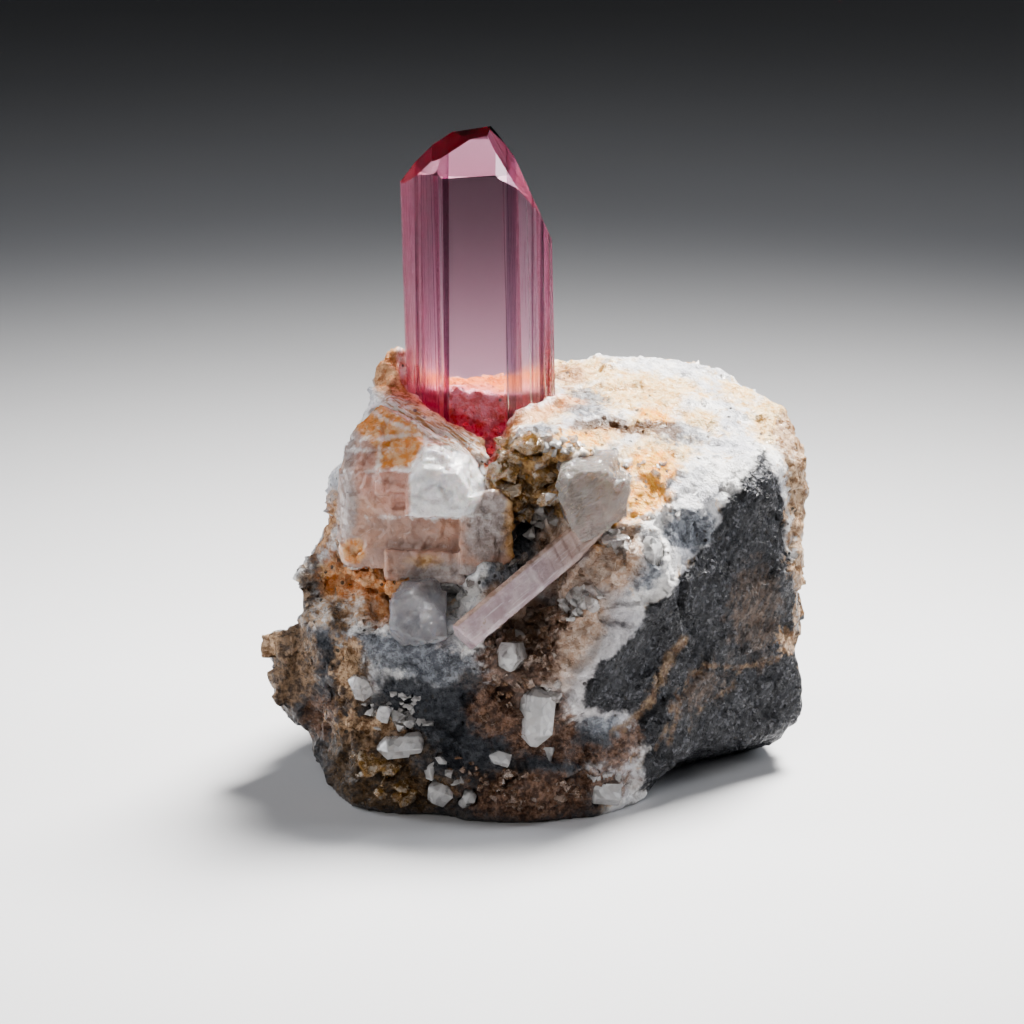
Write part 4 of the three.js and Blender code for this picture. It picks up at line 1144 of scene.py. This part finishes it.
def druse(name, material, seed):
    rng = np.random.default_rng(seed)
    bm = bmesh.new()
    for *area, count, largest in CHIP_AREAS[name]:
        for _ in range(count):
            at, normal = on(ROCK_TREE, *place_in(area, rng))
            size = largest * rng.uniform(0.35, 1.0)
            lean = Vector(normal) + Vector(rng.normal(size=3)) * 0.6
            turn = lean.to_track_quat("Z", "Y")
            chip(bm, at + normal * (SEAT_FILL + 0.1) * rng.uniform(-0.6, 0.5), turn, size, rng)
    bmesh.ops.scale(bm, vec=(MM, MM, MM), verts=bm.verts)
    return finish_piece(object_of(bm, name), material, "quartz", smooth=False)


def quartz_material(name, tint, clear, milk):
    s = Shader(name, IOR=1.545, Transmission_Weight=clear, Coat_Weight=0.6, Coat_Roughness=0.03)
    veil = s.ramp(s.noise(0.9, 5.0, 0.7), 0.46, 0.58)
    s.set("Base Color", s.mix(veil, tint, milk))
    s.set("Roughness", s.ramp(s.noise(0.6, 4.0, 0.6), 0.4, 0.65, 0.04, 0.22))
    s.set("Normal", s.glints(0.55, 0.42, 1.0, s.bump(s.noise(0.4, 5.0, 0.7), 0.07)))
    return s.material


QUARTZ_COUNT = 12
QUARTZ_SEED = 100


def quartz_crystals(material):
    for number in range(1, QUARTZ_COUNT + 1):
        node = f"quartz_crystal_{number}"
        rng = np.random.default_rng(QUARTZ_SEED + number)
        made = bevelled(node, f"clear_quartz_{number}", 4, 0.05, 1, rng)
        finish_piece(made, material, "quartz", node, smooth=False)


# Floor, light and camera

FLOOR_REACH = 3.0


def floor():
    corners = [(-FLOOR_REACH, -FLOOR_REACH, 0), (FLOOR_REACH, -FLOOR_REACH, 0),
               (FLOOR_REACH, FLOOR_REACH, 0), (-FLOOR_REACH, FLOOR_REACH, 0)]
    made = new_object("floor", np.array(corners) / MM, [(0, 1, 2, 3)])
    s = Shader("pale_floor", Roughness=0.55)
    s.set("Base Color", s.mix(s.noise(40.0, 3.0), (0.60, 0.60, 0.61), (0.64, 0.64, 0.65)))
    made.data.materials.append(s.material)


def lamp(name, place, aim, size, watts, colour, spread):
    data = bpy.data.lights.new(name, "AREA")
    data.spread = math.radians(spread)
    data.shape = "RECTANGLE"
    data.size, data.size_y = size
    data.energy = watts
    data.color = colour
    made = linked(name, data)
    made.location = place
    made.rotation_euler = (Vector(aim) - Vector(place)).to_track_quat("-Z", "Y").to_euler()


def studio():
    middle = (0, 0, 0.025)
    lamp("key", (0.12, 0.15, 0.34), (0.004, 0, 0.03), (0.13, 0.13), 0.50, (1, 0.98, 0.95), 46)
    lamp("left_box", (-0.38, 0.03, 0.20), middle, (0.13, 0.30), 0.22, (0.92, 0.95, 1), 80)
    lamp("right_box", (0.38, 0.04, 0.22), middle, (0.11, 0.30), 0.18, (0.92, 0.95, 1), 80)
    lamp("front_fill", (-0.10, -0.38, 0.30), middle, (0.26, 0.18), 0.06, (1, 0.98, 0.96), 50)
    world = bpy.data.worlds.new("studio")
    world.use_nodes = True
    world.node_tree.nodes["Background"].inputs["Color"].default_value = (0.85, 0.9, 1, 1)
    world.node_tree.nodes["Background"].inputs["Strength"].default_value = 0.02
    bpy.context.scene.world = world
    bpy.context.scene.view_settings.look = "AgX - Medium High Contrast"


def camera():
    data = bpy.data.cameras.new("camera")
    data.sensor_width = SENSOR
    data.lens = FOCAL_PX / PICTURE * SENSOR
    data.clip_start, data.clip_end = 0.01, 20
    made = linked("camera", data)
    made.location = CAMERA * MM
    made.rotation_euler = (math.pi / 2 - TILT, 0, 0)
    bpy.context.scene.camera = made


# The whole scene, piece by piece

camera()
studio()
floor()
rock()
topaz()
topaz_veils()
block("calcite_block_left", "cleaved_block_left",
      calcite_material("peach_calcite", (0.56, 0.33, 0.24), (0.42, 0.27, 0.22), 0.08), 101, bite=0.3)
block("calcite_block_right", "cleaved_block_right",
      calcite_material("silky_calcite", (0.90, 0.87, 0.85), (0.70, 0.62, 0.57), 0.8, (0.75, -0.3, 0.6)),
      201, bite=0.45, chips=5)
block("calcite_lump_low", "clear_lump",
      calcite_material("grey_calcite", (0.80, 0.80, 0.84), (0.54, 0.54, 0.58), 0.7), 301, bite=0.6)
slender_prism()
quartz_crystals(quartz_material("clear_quartz", (0.96, 0.94, 0.93), 0.58, (0.98, 0.97, 0.97)))
druse("druse_brown", quartz_material("brown_quartz", (0.36, 0.21, 0.13), 0.6, (0.56, 0.42, 0.34)), 41)
druse("druse_clear", quartz_material("veiled_quartz", (0.92, 0.89, 0.87), 0.62, (0.95, 0.94, 0.93)), 42)
druse("glassy_lobes", quartz_material("ochre_quartz", (0.50, 0.27, 0.07), 0.62, (0.74, 0.62, 0.48)), 43)
druse("glassy_lumps", quartz_material("grey_quartz", (0.64, 0.58, 0.55), 0.66, (0.86, 0.83, 0.81)), 44)
